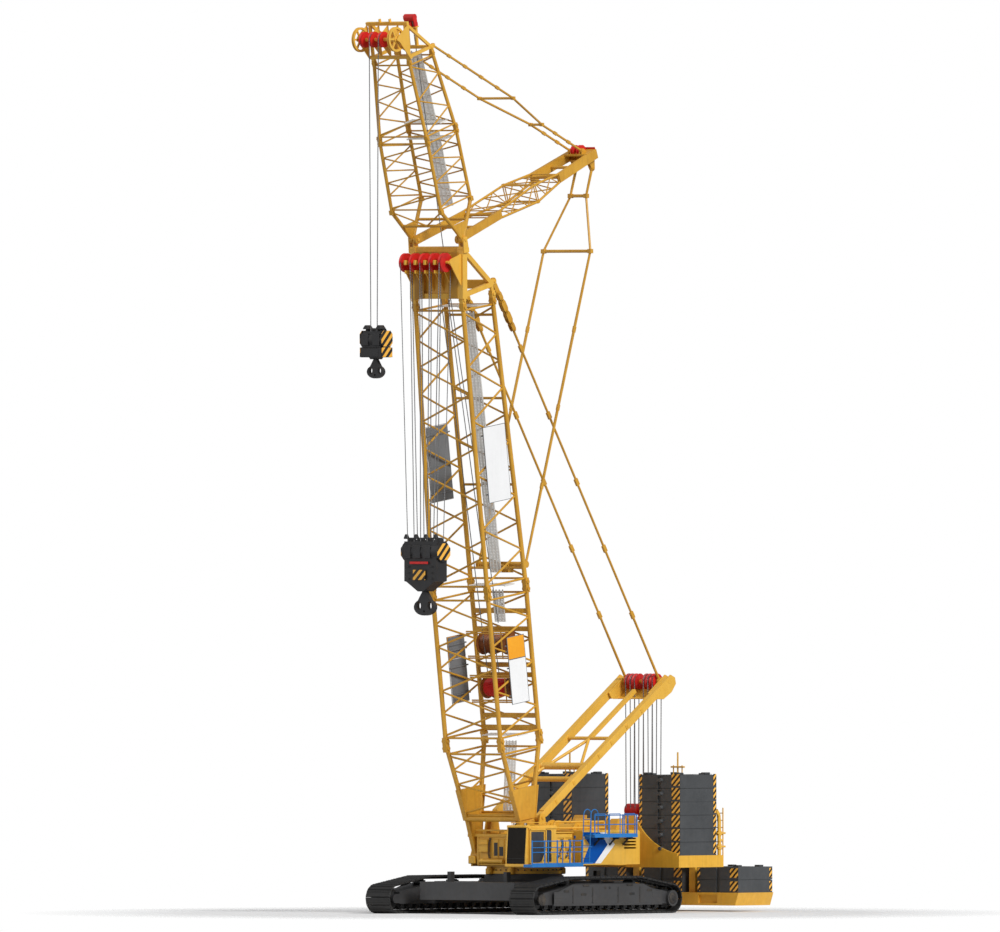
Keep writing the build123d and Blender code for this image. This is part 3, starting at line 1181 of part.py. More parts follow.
def boom_catwalk():
    """Service walk up the inside of the taper's rear face, seated on its cross bars."""
    low = (-BOOM_HALF_DEPTH, BOOM_BASE_END)
    high = (-TOP_HALF_DEPTH, BOOM_TOP_END)
    slope = atan2(high[0] - low[0], high[1] - low[1])
    seat = CATWALK_BAR_RADIUS + SEAT
    (x0, z0), (x1, z1) = between(low, high, 0.045), between(low, high, 0.955)
    shift_x, shift_z = cos(slope) * seat, -sin(slope) * seat
    thick_x, thick_z = cos(slope) * CATWALK_THICKNESS, -sin(slope) * CATWALK_THICKNESS
    outline = [(x0 + shift_x, z0 + shift_z), (x0 + shift_x + thick_x, z0 + shift_z + thick_z),
               (x1 + shift_x + thick_x, z1 + shift_z + thick_z), (x1 + shift_x, z1 + shift_z)]
    return BOOM * side_plate(outline, -CATWALK_WIDTH / 2, CATWALK_WIDTH / 2)


# ---- sheaves --------------------------------------------------------------------------
def sheave(x, z, y, radius, width):
    """A rope sheave, grooved, with its bore."""
    half = width / 2
    profile = Polyline((SHAFT_RADIUS + BORE_CLEARANCE, -half), (radius, -half), (radius - 45, -half * 0.2),
                       (radius - 45, half * 0.2), (radius, half), (SHAFT_RADIUS + BORE_CLEARANCE, half),
                       close=True)
    wheel = revolve(Plane.XZ * make_face(profile), Axis.Z)
    return Pos(x, y, z) * Rot(90, 0, 0) * wheel


def main_sheaves():
    """Five sheaves at the boom head."""
    wheels = []
    for i in range(SHEAVE_COUNT):
        y = (i - (SHEAVE_COUNT - 1) / 2) * SHEAVE_PITCH
        wheels.append(sheave(MAIN_SHEAVES.X, MAIN_SHEAVES.Z, y, SHEAVE_RADIUS, SHEAVE_WIDTH))
    return apart(wheels)


# ---- mast and boom pendants -----------------------------------------------------------
def mast_frame():
    """A-frame mast: two box legs, cross tubes, braces and head plates."""
    foot = (MAST_PIN_X, MAST_PIN_Z)
    head = (MAST_HEAD_X, MAST_HEAD_Z)
    length = hypot(head[0] - foot[0], head[1] - foot[1])
    legs = []

    def at(share, y):
        x, z = between(foot, head, share)
        return (x, y, z)

    for side in (1, -1):
        y = side * MAST_HALF
        legs.append(beam(at(300 / length, y), at(1, y), MAST_LEG_WIDTH, MAST_LEG_DEPTH))
        legs.append(beam(at(0.0, y), at(400 / length, y), MAST_LEG_WIDTH, MAST_LEG_DEPTH - 60))
        legs.append(across_y(foot[0], foot[1], 150, y - MAST_LEG_WIDTH / 2, y + MAST_LEG_WIDTH / 2))
    legs.append(bar(at(0.28, -MAST_HALF), at(0.28, MAST_HALF), 110))
    legs.append(bar(at(0.58, -MAST_HALF), at(0.58, MAST_HALF), 75))
    for side in (1, -1):
        legs.append(bar(at(0.30, side * MAST_HALF), at(0.57, 0), 65))
    legs.append(beam(at(0.58, 0), at(0.93, 0), 160, 160))
    # head: a cross box, side plates and the pins
    frame_angle = degrees(atan2(head[1] - foot[1], -(head[0] - foot[0])))
    tip = Plane(origin=(head[0], 0, head[1]), x_dir=(-cos(radians(frame_angle)), 0, sin(radians(frame_angle))),
                z_dir=(0, -1, 0))
    plate = [(-1100, -150), (-1100, 150), (-700, 420), (-100, 470), (330, 330), (420, 80), (250, -170)]
    for side in (1, -1):
        face = tip * make_face(Polyline(*plate, close=True))
        leg_plate = extrude(face, 60)
        legs.append(Pos(0, side * (MAST_HALF + MAST_LEG_WIDTH / 2 - 30) + 30, 0) * leg_plate)
        legs.append(Pos(0, side * HEAD_PLATE_INNER + 30, 0) * leg_plate)
    legs.append(bar((head[0], -MAST_HALF - 130, head[1]), (head[0], MAST_HALF + 130, head[1]), SHAFT_RADIUS))
    cover = [(-700, 400), (-700, 430), (-90, 480), (330, 340), (330, 310)]
    cover_face = tip * make_face(Polyline(*cover, close=True))
    legs.append(Pos(0, MAST_HALF + 100, 0) * extrude(cover_face, 2 * MAST_HALF + 200))
    frame = fuse(legs)
    for side in (1, -1):
        frame -= across_y(foot[0], foot[1], MAST_PIN_RADIUS + BORE_CLEARANCE, side * (MAST_HALF - 300),
                          side * (MAST_HALF + 300))
    return frame


def mast_sheaves():
    """Two groups of boom hoist sheaves at the mast's head."""
    x, z = MAST_HEAD_X, MAST_HEAD_Z
    bore, rim, root = SHAFT_RADIUS + BORE_CLEARANCE, 330, 280
    width, count = 600, 3
    outline = [(bore, -width / 2), (rim, -width / 2)]
    for i in range(count):
        start = -width / 2 + width * i / count
        outline += [(rim, start + 15), (root, start + 45), (root, start + width / count - 45),
                    (rim, start + width / count - 15)]
    outline += [(rim, width / 2), (bore, width / 2)]
    group = revolve(Plane.XZ * make_face(Polyline(*outline, close=True)), Axis.Z)
    return apart([Pos(x, y, z) * Rot(90, 0, 0) * group for y in (-HOIST_GROUP, HOIST_GROUP)])


def rod_line(points, radius, joints, lump):
    """A chain of pendant rods through points, with a thicker link at each joint."""
    pieces = [lace(a, b, radius) for a, b in zip(points, points[1:])]
    for a, b, share in joints:
        middle = between(a, b, share)
        heading = tuple(q - p for p, q in zip(a, b))
        size = sqrt(sum(c * c for c in heading))
        step = tuple(c / size * lump * 1.6 for c in heading)
        start = tuple(m - s for m, s in zip(middle, step))
        end = tuple(m + s for m, s in zip(middle, step))
        pieces.append(beam(start, end, lump * 0.9, lump * 1.7))
    return pieces


def boom_pendants():
    """Pendant rods from the mast head to the boom head, one line on each side."""
    lines = []
    head = (MAST_HEAD_X, MAST_HEAD_Z)
    top = (PENDANT_TOP.X, PENDANT_TOP.Z)
    eye = LINK_PIN_RADIUS + LINK_PIN_PLAY
    for side in (1, -1):
        y = side * PENDANT_HALF
        low, high = (head[0], y, head[1]), (top[0], y, top[1])
        joints = [(low, high, i / 6) for i in range(1, 6)]
        reach = LINK_EYE_RADIUS / hypot(top[0] - head[0], top[1] - head[1])
        pieces = rod_line([between(low, high, reach), between(low, high, 1 - reach)], PENDANT_RADIUS,
                          joints, 90)
        pieces.append(beam(between(low, high, 0.91), between(low, high, 0.995), LINK_WIDTH, 210))
        for x, z in (head, top):
            pieces.append(across_y(x, z, LINK_EYE_RADIUS + 40, y - LINK_WIDTH / 2, y + LINK_WIDTH / 2))
        line = fuse(pieces)
        line -= across_y(head[0], head[1], SHAFT_RADIUS + BORE_CLEARANCE, y - 200, y + 200)
        line -= across_y(top[0], top[1], eye, y - 200, y + 200)
        lines.append(line)
    return apart(lines)


# ---- luffing jib ----------------------------------------------------------------------
def jib_corners(index, along):
    """Chord points at one of the jib's three section planes."""
    return corners(JIB_HALF_DEPTHS[index], JIB_HALF_WIDTHS[index], along)


def jib_base():
    """Jib foot and first section."""
    low = jib_corners(0, JIB_FOOT_LENGTH)
    high = jib_corners(1, JIB_BASE_END)
    pieces = lattice(low, high, JIB_CHORD_RADIUS, JIB_LACING_RADIUS, 5, 110, JIB_TRIM)
    pieces += connectors(high, JIB_CONNECTOR, -1)
    gusset = 700 / JIB_FOOT_LENGTH
    for side in (1, -1):
        foot = (0, side * JIB_FOOT_HALF, 0)
        front, rear = [p for p in low if p[1] * side > 0][:2]
        for corner in (front, rear):
            pieces.append(bar(foot, corner, JIB_CHORD_RADIUS * 1.1))
            x, y, z = corner
            size = JIB_CHORD_RADIUS * 1.3
            pieces.append(block(x - size, x + size, y - size, y + size, z - 90, z + 90))
        y = side * JIB_FOOT_HALF
        plate = [(-90, 0), (90, 0), (low[0][0] * gusset + 60, 700), (low[2][0] * gusset - 60, 700)]
        pieces.append(side_plate(plate, y - 45, y + 45))
        pieces.append(across_y(0, 0, 150, y - JIB_EYE_WIDTH / 2, y + JIB_EYE_WIDTH / 2))
    for x, share in ((low[0][0], 0.5), (low[2][0], 0.5)):
        z = JIB_FOOT_LENGTH * share
        pieces.append(across_y(x * share, z, 50, -JIB_FOOT_HALF, JIB_FOOT_HALF))
    front_mid = (low[0][0] * 0.5, 0, JIB_FOOT_LENGTH * 0.5)
    for side in (1, -1):
        pieces.append(lace(front_mid, (low[0][0], side * low[1][1], JIB_FOOT_LENGTH), JIB_LACING_RADIUS))
    section = fuse(pieces)
    section -= across_y(0, 0, JIB_PIN_RADIUS + BORE_CLEARANCE, -3000, 3000)
    return JIB * section


def jib_top():
    """Upper tapered section of the jib."""
    low = jib_corners(1, JIB_BASE_END)
    high = jib_corners(2, JIB_TOP_END)
    pieces = lattice(low, high, JIB_CHORD_RADIUS, JIB_LACING_RADIUS, 4, 190, JIB_TRIM)
    pieces += connectors(low, JIB_CONNECTOR, 1) + connectors(high, JIB_CONNECTOR, -1)
    return JIB * fuse(pieces)


def jib_head():
    """Jib head: frame, top beam, arms that carry the wheels and sheaves, pendant lugs."""
    base = JIB_TOP_END
    front, rear = JIB_HALF_DEPTHS[2], -JIB_HALF_DEPTHS[2]
    half = JIB_HALF_WIDTHS[2]
    axle = (JIB_SHEAVE_OFFSET, JIB_SHEAVE_ALONG)
    arm_y = JIB_ARM_HALF
    pieces = connectors(jib_corners(2, base), JIB_CONNECTOR, 1)
    rear_z = base + JIB_REAR_RISE
    for side in (1, -1):
        y = side * half
        pieces.append(beam((front, y, base + 160), (rear, y, rear_z), 110, 130))
        pieces.append(bar((rear, y, base + 100), (rear, y, rear_z), JIB_CHORD_RADIUS))
        pieces.append(beam((rear, y, rear_z), (JIB_TOP_BEAM_OFFSET, y, JIB_HEAD_TOP), 100, 120))
        pieces.append(beam((front, y, base + 160), (JIB_TOP_BEAM_OFFSET, y, JIB_HEAD_TOP), 100, 120))
        arm = [(front + 60, base + 90), (axle[0] - 40, axle[1] - 130), (axle[0] + 110, axle[1]),
               (axle[0] - 40, axle[1] + 130), (JIB_TOP_BEAM_OFFSET + 30, JIB_HEAD_TOP - 60),
               (JIB_TOP_BEAM_OFFSET - 10, JIB_HEAD_TOP - 200), (front, base + 420)]
        pieces.append(side_plate(arm, side * arm_y, side * (arm_y + 40)))
        # pendant lug
        for y0 in (JIB_PENDANT_HALF - LINK_WIDTH / 2 - SIDE_GAP - 30,
                   JIB_PENDANT_HALF + LINK_WIDTH / 2 + SIDE_GAP):
            lug = [(rear + 60, rear_z - 110), (rear - JIB_LUG_REACH - 60, rear_z - 60),
                   (rear - JIB_LUG_REACH - 60, rear_z + 60), (rear + 60, rear_z + 110)]
            pieces.append(side_plate(lug, side * y0, side * (y0 + 30)))
        pieces.append(across_y(rear - JIB_LUG_REACH, rear_z, SMALL_PIN_RADIUS,
                               side * (JIB_PENDANT_HALF - 90), side * (JIB_PENDANT_HALF + 90)))
    reach = JIB_ARM_HALF + 40
    pieces.append(beam((front, -reach, base + 160), (front, reach, base + 160), 130, 130))
    reach = JIB_PENDANT_HALF + LINK_WIDTH / 2 + SIDE_GAP + 30
    pieces.append(beam((rear, -reach, rear_z), (rear, reach, rear_z), 130, 130))
    pieces.append(block(JIB_TOP_BEAM_OFFSET - 70, JIB_TOP_BEAM_OFFSET + 70, -JIB_TOP_BEAM_HALF,
                        JIB_TOP_BEAM_HALF, JIB_HEAD_TOP - 70, JIB_HEAD_TOP + 70))
    for y in JIB_MID_ARMS:
        arm = [(front, base + 120), (axle[0] - 40, axle[1] - 110), (axle[0] + 100, axle[1]),
               (axle[0] - 40, axle[1] + 110), (JIB_TOP_BEAM_OFFSET, JIB_HEAD_TOP - 50)]
        pieces.append(side_plate(arm, y - 18, y + 18))
    reach = JIB_WHEEL_HALF + 130
    pieces.append(across_y(axle[0], axle[1], SHAFT_RADIUS, -reach, reach))
    for y in (-365, 170):
        pieces.append(block(JIB_TOP_BEAM_OFFSET - 60, JIB_TOP_BEAM_OFFSET + 60, y - 25, y + 25,
                            JIB_HEAD_TOP, JIB_HEAD_TOP + 200))
    # two posts and a plate that carry the rope guide
    for side in (1, -1):
        pieces.append(beam((rear, side * 220, rear_z), (GUIDE_OFFSET, side * 220, GUIDE_SEAT - 20), 80, 110))
    pieces.append(block(GUIDE_OFFSET - 110, GUIDE_OFFSET + 110, -GUIDE_HALF - 30, GUIDE_HALF + 30,
                        GUIDE_SEAT - 50, GUIDE_SEAT))
    return JIB * fuse(pieces)


def jib_rope_guide():
    """Rope guide roller between two cheeks, on top of the jib head."""
    pieces = [across_y(GUIDE_OFFSET, GUIDE_ALONG, 150, -GUIDE_HALF + 10, GUIDE_HALF - 10)]
    foot = GUIDE_SEAT + SEAT
    cheek = [(GUIDE_OFFSET - 90, foot), (GUIDE_OFFSET + 90, foot), (GUIDE_OFFSET + 130, GUIDE_ALONG + 100),
             (GUIDE_OFFSET - 130, GUIDE_ALONG + 100)]
    for side in (1, -1):
        pieces.append(side_plate(cheek, side * (GUIDE_HALF - 40), side * GUIDE_HALF))
    return JIB * fuse(pieces)


def spoked_wheel(y):
    """A large rope wheel: grooved rim, hub and six spokes."""
    half = 60
    rim = across_y(0, 0, JIB_WHEEL_RADIUS, -half, half) - across_y(0, 0, JIB_WHEEL_RADIUS - 90, -half, half)
    groove = across_y(0, 0, JIB_WHEEL_RADIUS + 10, -22, 22) - across_y(0, 0, JIB_WHEEL_RADIUS - 40, -22, 22)
    wheel = rim - groove + across_y(0, 0, SHAFT_RADIUS + 60, -half, half)
    for i in range(6):
        wheel += Rot(0, 60 * i, 0) * block(SHAFT_RADIUS + 20, JIB_WHEEL_RADIUS - 70, -30, 30, -38, 38)
    wheel -= across_y(0, 0, SHAFT_RADIUS + BORE_CLEARANCE, -200, 200)
    return Pos(JIB_SHEAVES.X, y, JIB_SHEAVES.Z) * wheel


def jib_wheels():
    """The two spoked wheels at the ends of the jib head's shaft."""
    return apart([spoked_wheel(side * JIB_WHEEL_HALF) for side in (-1, 1)])


def jib_sheaves():
    """Three auxiliary hoist sheaves between the wheels."""
    return apart([sheave(JIB_SHEAVES.X, JIB_SHEAVES.Z, y, JIB_SHEAVE_RADIUS, 140) 
                  for y in JIB_SHEAVE_PLACES])


def strut():
    """Jib strut: box feet, a four-chord lattice that swells in the middle, and a box head."""
    foot_end, swell, head_start = 3100, 5820, 7600

    def half_width(along):
        return STRUT_FOOT_HALF + (STRUT_HEAD_HALF - STRUT_FOOT_HALF) * along / STRUT_LENGTH

    stations = [(foot_end, 150, -40), (swell, 370, -100), (head_start, 170, -60)]
    rings = []
    for along, depth, drop in stations:
        width = half_width(along)
        rings.append([(drop + depth, -width, along), (drop + depth, width, along),
                      (drop - depth, width, along), (drop - depth, -width, along)])
    pieces = []
    for low, high, levels in ((rings[0], rings[1], 4), (rings[1], rings[2], 3)):
        pieces += lattice(low, high, 42, 20, levels, 60)
    pieces += [block(x - 50, x + 50, y - 50, y + 50, z - 60, z + 60) for x, y, z in rings[1]]
    for side in (1, -1):
        w0, w1 = half_width(0), half_width(foot_end)
        pieces.append(beam((0, side * w0, 0), (-40, side * w1, foot_end + 60), STRUT_ARM_WIDTH - 10, 340))
        w2, w3 = half_width(head_start), half_width(STRUT_LENGTH)
        pieces.append(beam((-60, side * w2, head_start - 60), (0, side * w3, STRUT_LENGTH), 150, 380))
        pieces.append(across_y(0, 0, 170, side * (w0 - STRUT_ARM_WIDTH / 2), side * (w0 + STRUT_ARM_WIDTH / 2)))
    for along in (1600, foot_end, head_start, 8800):
        width = half_width(along)
        pieces.append(across_y(-40, along, 60, -width, width))
    reach = STRUT_HEAD_HALF + 75
    pieces.append(block(-190, 190, -reach, reach, STRUT_LENGTH - 120, STRUT_LENGTH + 130))
    # lugs for the jib pendants above and the backstays behind
    for side in (1, -1):
        for y0 in (STRUT_TOP_HALF - LINK_WIDTH / 2 - SIDE_GAP - 30, STRUT_TOP_HALF + LINK_WIDTH / 2 + SIDE_GAP):
            lug = [(150, STRUT_LENGTH - 500), (STRUT_LUG_UP + 80, STRUT_LUG_ALONG - 60),
                   (STRUT_LUG_UP + 80, STRUT_LUG_ALONG + 60), (150, STRUT_LENGTH - 100)]
            pieces.append(side_plate(lug, side * y0, side * (y0 + 30)))
        pieces.append(across_y(STRUT_LUG_UP, STRUT_LUG_ALONG, SMALL_PIN_RADIUS,
                               side * (STRUT_TOP_HALF - 90), side * (STRUT_TOP_HALF + 90)))
        # backstay clevis below the head
        for y0 in (STAY_TOP_HALF - LINK_WIDTH / 2 - SIDE_GAP - 30, STAY_TOP_HALF + LINK_WIDTH / 2 + SIDE_GAP):
            plate = [(-150, STRUT_LENGTH - 300), (STAY_PIN_DROP - 80, STAY_PIN_ALONG - 70),
                     (STAY_PIN_DROP - 80, STAY_PIN_ALONG + 70), (-150, STRUT_LENGTH + 130)]
            pieces.append(side_plate(plate, side * y0, side * (y0 + 30)))
        pieces.append(across_y(STAY_PIN_DROP, STAY_PIN_ALONG, STAY_PIN_RADIUS, side * (STAY_TOP_HALF - 110),
                               side * (STAY_TOP_HALF + 110)))
    pieces.append(block(120, 190, -reach, reach, STRUT_LENGTH - 520, STRUT_LENGTH - 90))
    pieces.append(block(-190, -120, -reach, reach, STRUT_LENGTH - 340, STRUT_LENGTH + 130))
    frame = fuse(pieces)
    for side in (1, -1):
        y = side * half_width(0)
        frame -= across_y(0, 0, JIB_PIN_RADIUS + BORE_CLEARANCE, y - 150, y + 150)
    return STRUT * frame


def jib_pendants():
    """Pendant rods from the jib head to the strut head, drawn together by a spreader."""
    start, end = (JIB_LUG.X, JIB_LUG.Z), (STRUT_LUG.X, STRUT_LUG.Z)
    narrow = 0.75
    wide = 0.5
    halves = ((0, JIB_PENDANT_HALF), (wide, JIB_PENDANT_HALF), (narrow, STRUT_TOP_HALF), (1, STRUT_TOP_HALF))
    pieces = []
    for side in (1, -1):
        points = []
        for share, half in halves:
            x, z = between(start, end, share)
            points.append((x, side * half, z))
        lumps = [(points[0], points[1], i / 5) for i in range(1, 5)]
        lumps += [(points[2], points[3], i / 3) for i in range(1, 3)]
        pieces += rod_line(points, JIB_PENDANT_RADIUS, lumps, 62)
        for x, y, z in points[1:3]:
            pieces.append(block(x - 60, x + 60, y - 60, y + 60, z - 60, z + 60))
        for x, y, z in (points[0], points[3]):
            pieces.append(across_y(x, z, 85, y - LINK_WIDTH / 2, y + LINK_WIDTH / 2))
    for share, half in halves[1:3]:
        x, z = between(start, end, share)
        pieces.append(lace((x, -half, z), (x, half, z), 42))
    frame = fuse(pieces)
    bore = SMALL_PIN_RADIUS + BORE_CLEARANCE
    for x, z in (start, end):
        frame -= across_y(x, z, bore, -2000, 2000)
    return frame


def backstays():
    """Strut backstays: two lines spread by two bars, with a rope block at the lower end."""
    start, end = (STAY_PIN.X, STAY_PIN.Z), (STAY_END_X, STAY_END_Z)
    halves = ((0, STAY_TOP_HALF), (0.07, STAY_TOP_HALF), (0.21, STAY_HALF), (1, STAY_HALF))
    pieces = []
    for side in (1, -1):
        points = []
        for share, half in halves:
            x, z = between(start, end, share)
            points.append((x, side * half, z))
        lumps = [(points[2], points[3], i / 4) for i in range(1, 4)]
        pieces += rod_line(points, STAY_RADIUS, lumps, 70)
        for x, y, z in points[1:3]:
            pieces.append(block(x - 75, x + 75, y - 75, y + 75, z - 75, z + 75))
        x, y, z = points[0]
        pieces.append(across_y(x, z, 110, y - LINK_WIDTH / 2, y + LINK_WIDTH / 2))
        x, y, z = points[3]
        pieces.append(across_y(x, z, 130, y - 50, y + 50))
    for share, half in halves[1:3]:
        x, z = between(start, end, share)
        pieces.append(lace((x, -half, z), (x, half, z), 55))
    x, z = end
    pieces.append(across_y(x, z, 90, -STAY_HALF, STAY_HALF))
    pieces.append(block(x - 190, x + 130, -420, 420, z - 330, z + 90))
    frame = fuse(pieces)
    for side in (1, -1):
        y = side * STAY_TOP_HALF
        frame -= across_y(start[0], start[1], STAY_PIN_RADIUS + BORE_CLEARANCE, y - 110, y + 110)
    return frame


# ---- hooks ----------------------------------------------------------------------------
def ramshorn(x, top, size, shank_radius, thickness):
    """A double hook in the Y-Z plane, with a cross hole for a shackle; top is its collar's seat."""
    centre_z = top - size * 1.12
    outer = Pos(0, centre_z) * Ellipse(size * HOOK_REACH, size * 0.60)
    neck = Polyline((-shank_radius, top), (shank_radius, top), (size * 0.62, top - size * 0.72),
                    (-size * 0.62, top - size * 0.72), close=True)
    body = outer + make_face(neck)
    for side in (1, -1):
        slot = Ellipse(size * HOOK_BOWL[0], size * HOOK_BOWL[1])
        body -= Pos(side * size * HOOK_BOWL_OFFSET, centre_z + size * HOOK_BOWL_RISE) * slot
    hook = extrude(Plane.YZ * body, thickness / 2, both=True)
    hole = Pos(0, 0, centre_z - size * 0.30) * Rot(0, 90, 0) * Cylinder(SHACKLE_RADIUS, thickness * 3)
    hook -= hole
    shank = Pos(0, 0, top + size * 0.15) * Cylinder(shank_radius, size * 0.34)
    return Pos(x, 0, 0) * (hook + shank)


def hook_block(x, sheave_z, half, radius, foot, shank):
    """A hook block: round cheeks over a tapering body; foot is the height of its lower end."""
    depth = radius * 0.82
    body = [(-half, sheave_z), (half, sheave_z), (half, foot + 430), (half * 0.86, foot + 400),
            (half * 0.16, foot), (-half * 0.16, foot), (-half * 0.86, foot + 400), (-half, foot + 430)]
    middle = extrude(Plane.YZ * make_face(Polyline(*body, close=True)), depth, both=True)
    cheeks = across_y(0, sheave_z, radius, -half - 110, half + 110)
    top = block(-depth, depth, -half, half, sheave_z - 10, sheave_z + radius)
    pieces = [middle, cheeks, top]
    for i in range(4):
        y = (i - 1.5) * half * 0.56
        pieces.append(Pos(0, y, sheave_z + radius) * Rot(90, 0, 0) * Cylinder(radius * 0.38, half * 0.28))
    shape = fuse(pieces)
    shape -= Pos(0, 0, foot) * Cylinder(shank + BORE_CLEARANCE, 2 * HOOK_SOCKET)
    return Pos(x, 0, 0) * shape


def main_hook_block():
    """Main hook block."""
    return hook_block(MAIN_SHEAVES.X, MAIN_HOOK_SHEAVE_Z, MAIN_BLOCK_HALF, 420, MAIN_FOOT_Z,
                      HOOK_SHANK)


def main_hook():
    """Main ramshorn hook, hung in the block's foot."""
    return ramshorn(MAIN_SHEAVES.X, MAIN_FOOT_Z - HOOK_SEAT, MAIN_HOOK_SIZE, HOOK_SHANK, MAIN_HOOK_THICKNESS)


def aux_hook_block():
    """Auxiliary hook block."""
    return hook_block(JIB_SHEAVES.X + AUX_HOOK_FORWARD, AUX_HOOK_SHEAVE_Z, 470, 360, AUX_FOOT_Z, AUX_SHANK)


def aux_hook():
    """Auxiliary ramshorn hook."""
    return ramshorn(JIB_SHEAVES.X + AUX_HOOK_FORWARD, AUX_FOOT_Z - HOOK_SEAT, AUX_HOOK_SIZE, AUX_SHANK,
                    AUX_HOOK_THICKNESS)


# ---- nodes ----------------------------------------------------------------------------
NODES = {
    "carbody": carbody,
    "slewing_ring_lower": lambda: ring(RING_SEAT_TOP, RING_RADIUS, 70),
    "carbody_ballast": carbody_ballast,
    "track_frame_left": lambda: track_frame(1),
    "track_frame_right": lambda: track_frame(-1),
    "track_wheels_left": lambda: track_wheels(1),
    "track_wheels_right": lambda: track_wheels(-1),
    "track_left": lambda: track(1),
    "track_right": lambda: track(-1),
    "turntable_frame": turntable_frame,
    "slewing_ring_upper": slewing_ring_upper,
    "machinery_house_left": lambda: house(LEFT_HOUSE_FRONT, LEFT_HOUSE_REAR, HOUSE_INNER,
                                          LEFT_HOUSE_OUTER, 1),
    "machinery_house_right": lambda: house(RIGHT_HOUSE_FRONT, RIGHT_HOUSE_REAR, HOUSE_INNER,
                                           RIGHT_HOUSE_OUTER, -1),
    "hydraulic_cabinet": hydraulic_cabinet,
    "engine_block": engine_block,
    "cab_shell": cab_shell,
    "cab_windows": cab_windows,
    "operator_seat": operator_seat,
    "walkways": walkways,
    "handrails": handrails,
    "deck_winches": deck_winches,
    "boom_hoist_sheaves": boom_hoist_sheaves,
    "ballast_tray": ballast_tray,
    "ballast_stack_left": lambda: ballast_stack(1),
    "ballast_stack_right": lambda: ballast_stack(-1),
    "ballast_posts": ballast_posts,
    "rear_ladder": rear_ladder,
    "lower_ballast_tray": lower_ballast_tray,
    "lower_ballast_blocks": lower_ballast_blocks,
    "cab_door": cab_door,
    "cab_door_window": cab_door_window,
    "boom_foot": boom_foot,
    "boom_base": boom_base,
    "boom_taper": boom_taper,
    "boom_head": boom_head,
    "boom_winches": boom_winches,
    "boom_catwalk": boom_catwalk,
    "main_sheaves": main_sheaves,
    "main_hook_block": main_hook_block,
    "main_hook": main_hook,
    "mast_frame": mast_frame,
    "mast_sheaves": mast_sheaves,
    "boom_pendants": boom_pendants,
    "jib_base": jib_base,
    "jib_top": jib_top,
    "jib_head": jib_head,
    "jib_rope_guide": jib_rope_guide,
    "strut": strut,
    "jib_pendants": jib_pendants,
    "backstays": backstays,
    "jib_wheels": jib_wheels,
    "jib_sheaves": jib_sheaves,
    "aux_hook_block": aux_hook_block,
    "aux_hook": aux_hook,
}


def main():
    """Build every node and write it out."""
    os.makedirs("parts", exist_ok=True)
    for name, build in NODES.items():
        shape = Pos(FRAME_SHIFT, 0, 0) * build()
        export_step(shape, "parts/" + name + ".step")


if __name__ == "__main__":
    main()
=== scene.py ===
import bpy
import json
from math import atan2, cos, hypot, pi, radians, sin
from mathutils import Matrix, Vector


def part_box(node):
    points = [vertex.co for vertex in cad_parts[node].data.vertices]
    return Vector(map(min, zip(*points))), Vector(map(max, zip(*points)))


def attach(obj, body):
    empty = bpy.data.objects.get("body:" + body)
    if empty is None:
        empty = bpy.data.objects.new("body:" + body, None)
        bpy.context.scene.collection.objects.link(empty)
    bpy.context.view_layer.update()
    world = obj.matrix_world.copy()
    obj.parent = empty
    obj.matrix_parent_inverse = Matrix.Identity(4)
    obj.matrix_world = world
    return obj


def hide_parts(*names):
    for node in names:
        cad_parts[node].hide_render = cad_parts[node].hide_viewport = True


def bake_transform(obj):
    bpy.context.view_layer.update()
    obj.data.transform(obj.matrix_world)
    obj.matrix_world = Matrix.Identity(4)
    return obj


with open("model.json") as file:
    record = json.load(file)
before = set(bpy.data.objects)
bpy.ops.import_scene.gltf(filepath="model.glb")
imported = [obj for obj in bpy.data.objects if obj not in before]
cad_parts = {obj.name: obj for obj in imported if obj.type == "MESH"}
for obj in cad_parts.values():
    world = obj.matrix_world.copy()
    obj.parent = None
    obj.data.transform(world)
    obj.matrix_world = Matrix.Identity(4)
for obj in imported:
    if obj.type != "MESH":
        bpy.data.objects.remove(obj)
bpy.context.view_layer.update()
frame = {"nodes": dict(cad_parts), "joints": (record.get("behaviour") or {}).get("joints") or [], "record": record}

JOINT = {joint["name"]: joint for joint in frame["joints"]}
X, Y, Z = Vector((1, 0, 0)), Vector((0, 1, 0)), Vector((0, 0, 1))


def low(node):
    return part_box(node)[0]


def high(node):
    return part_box(node)[1]


def centre(node):
    return (low(node) + high(node)) / 2


SLEW = centre("slewing_ring_lower").x      # the slewing axis, in X


# ---- camera, floor, light --------------------------------------------------------------
LENS, SENSOR = 1200, 36                    # millimetres
VIEW_WIDTH = 125 / 3                       # metres across the picture
VIEW_MIDDLE = Vector((SLEW + 0.629, -0.777, 18.63))
VIEW_FROM = Vector((0.777, 0.629, 0)).normalized()


def set_camera():
    """A long lens, level, from the front left."""
    data = bpy.data.cameras.new("camera")
    data.lens = LENS
    data.sensor_width = SENSOR
    data.clip_start, data.clip_end = 1, 6000
    camera = bpy.data.objects.new("camera", data)
    camera.location = VIEW_MIDDLE + VIEW_FROM * VIEW_WIDTH * LENS / SENSOR
    camera.rotation_euler = (-VIEW_FROM).to_track_quat("-Z", "Y").to_euler()
    bpy.context.scene.collection.objects.link(camera)
    bpy.context.scene.camera = camera


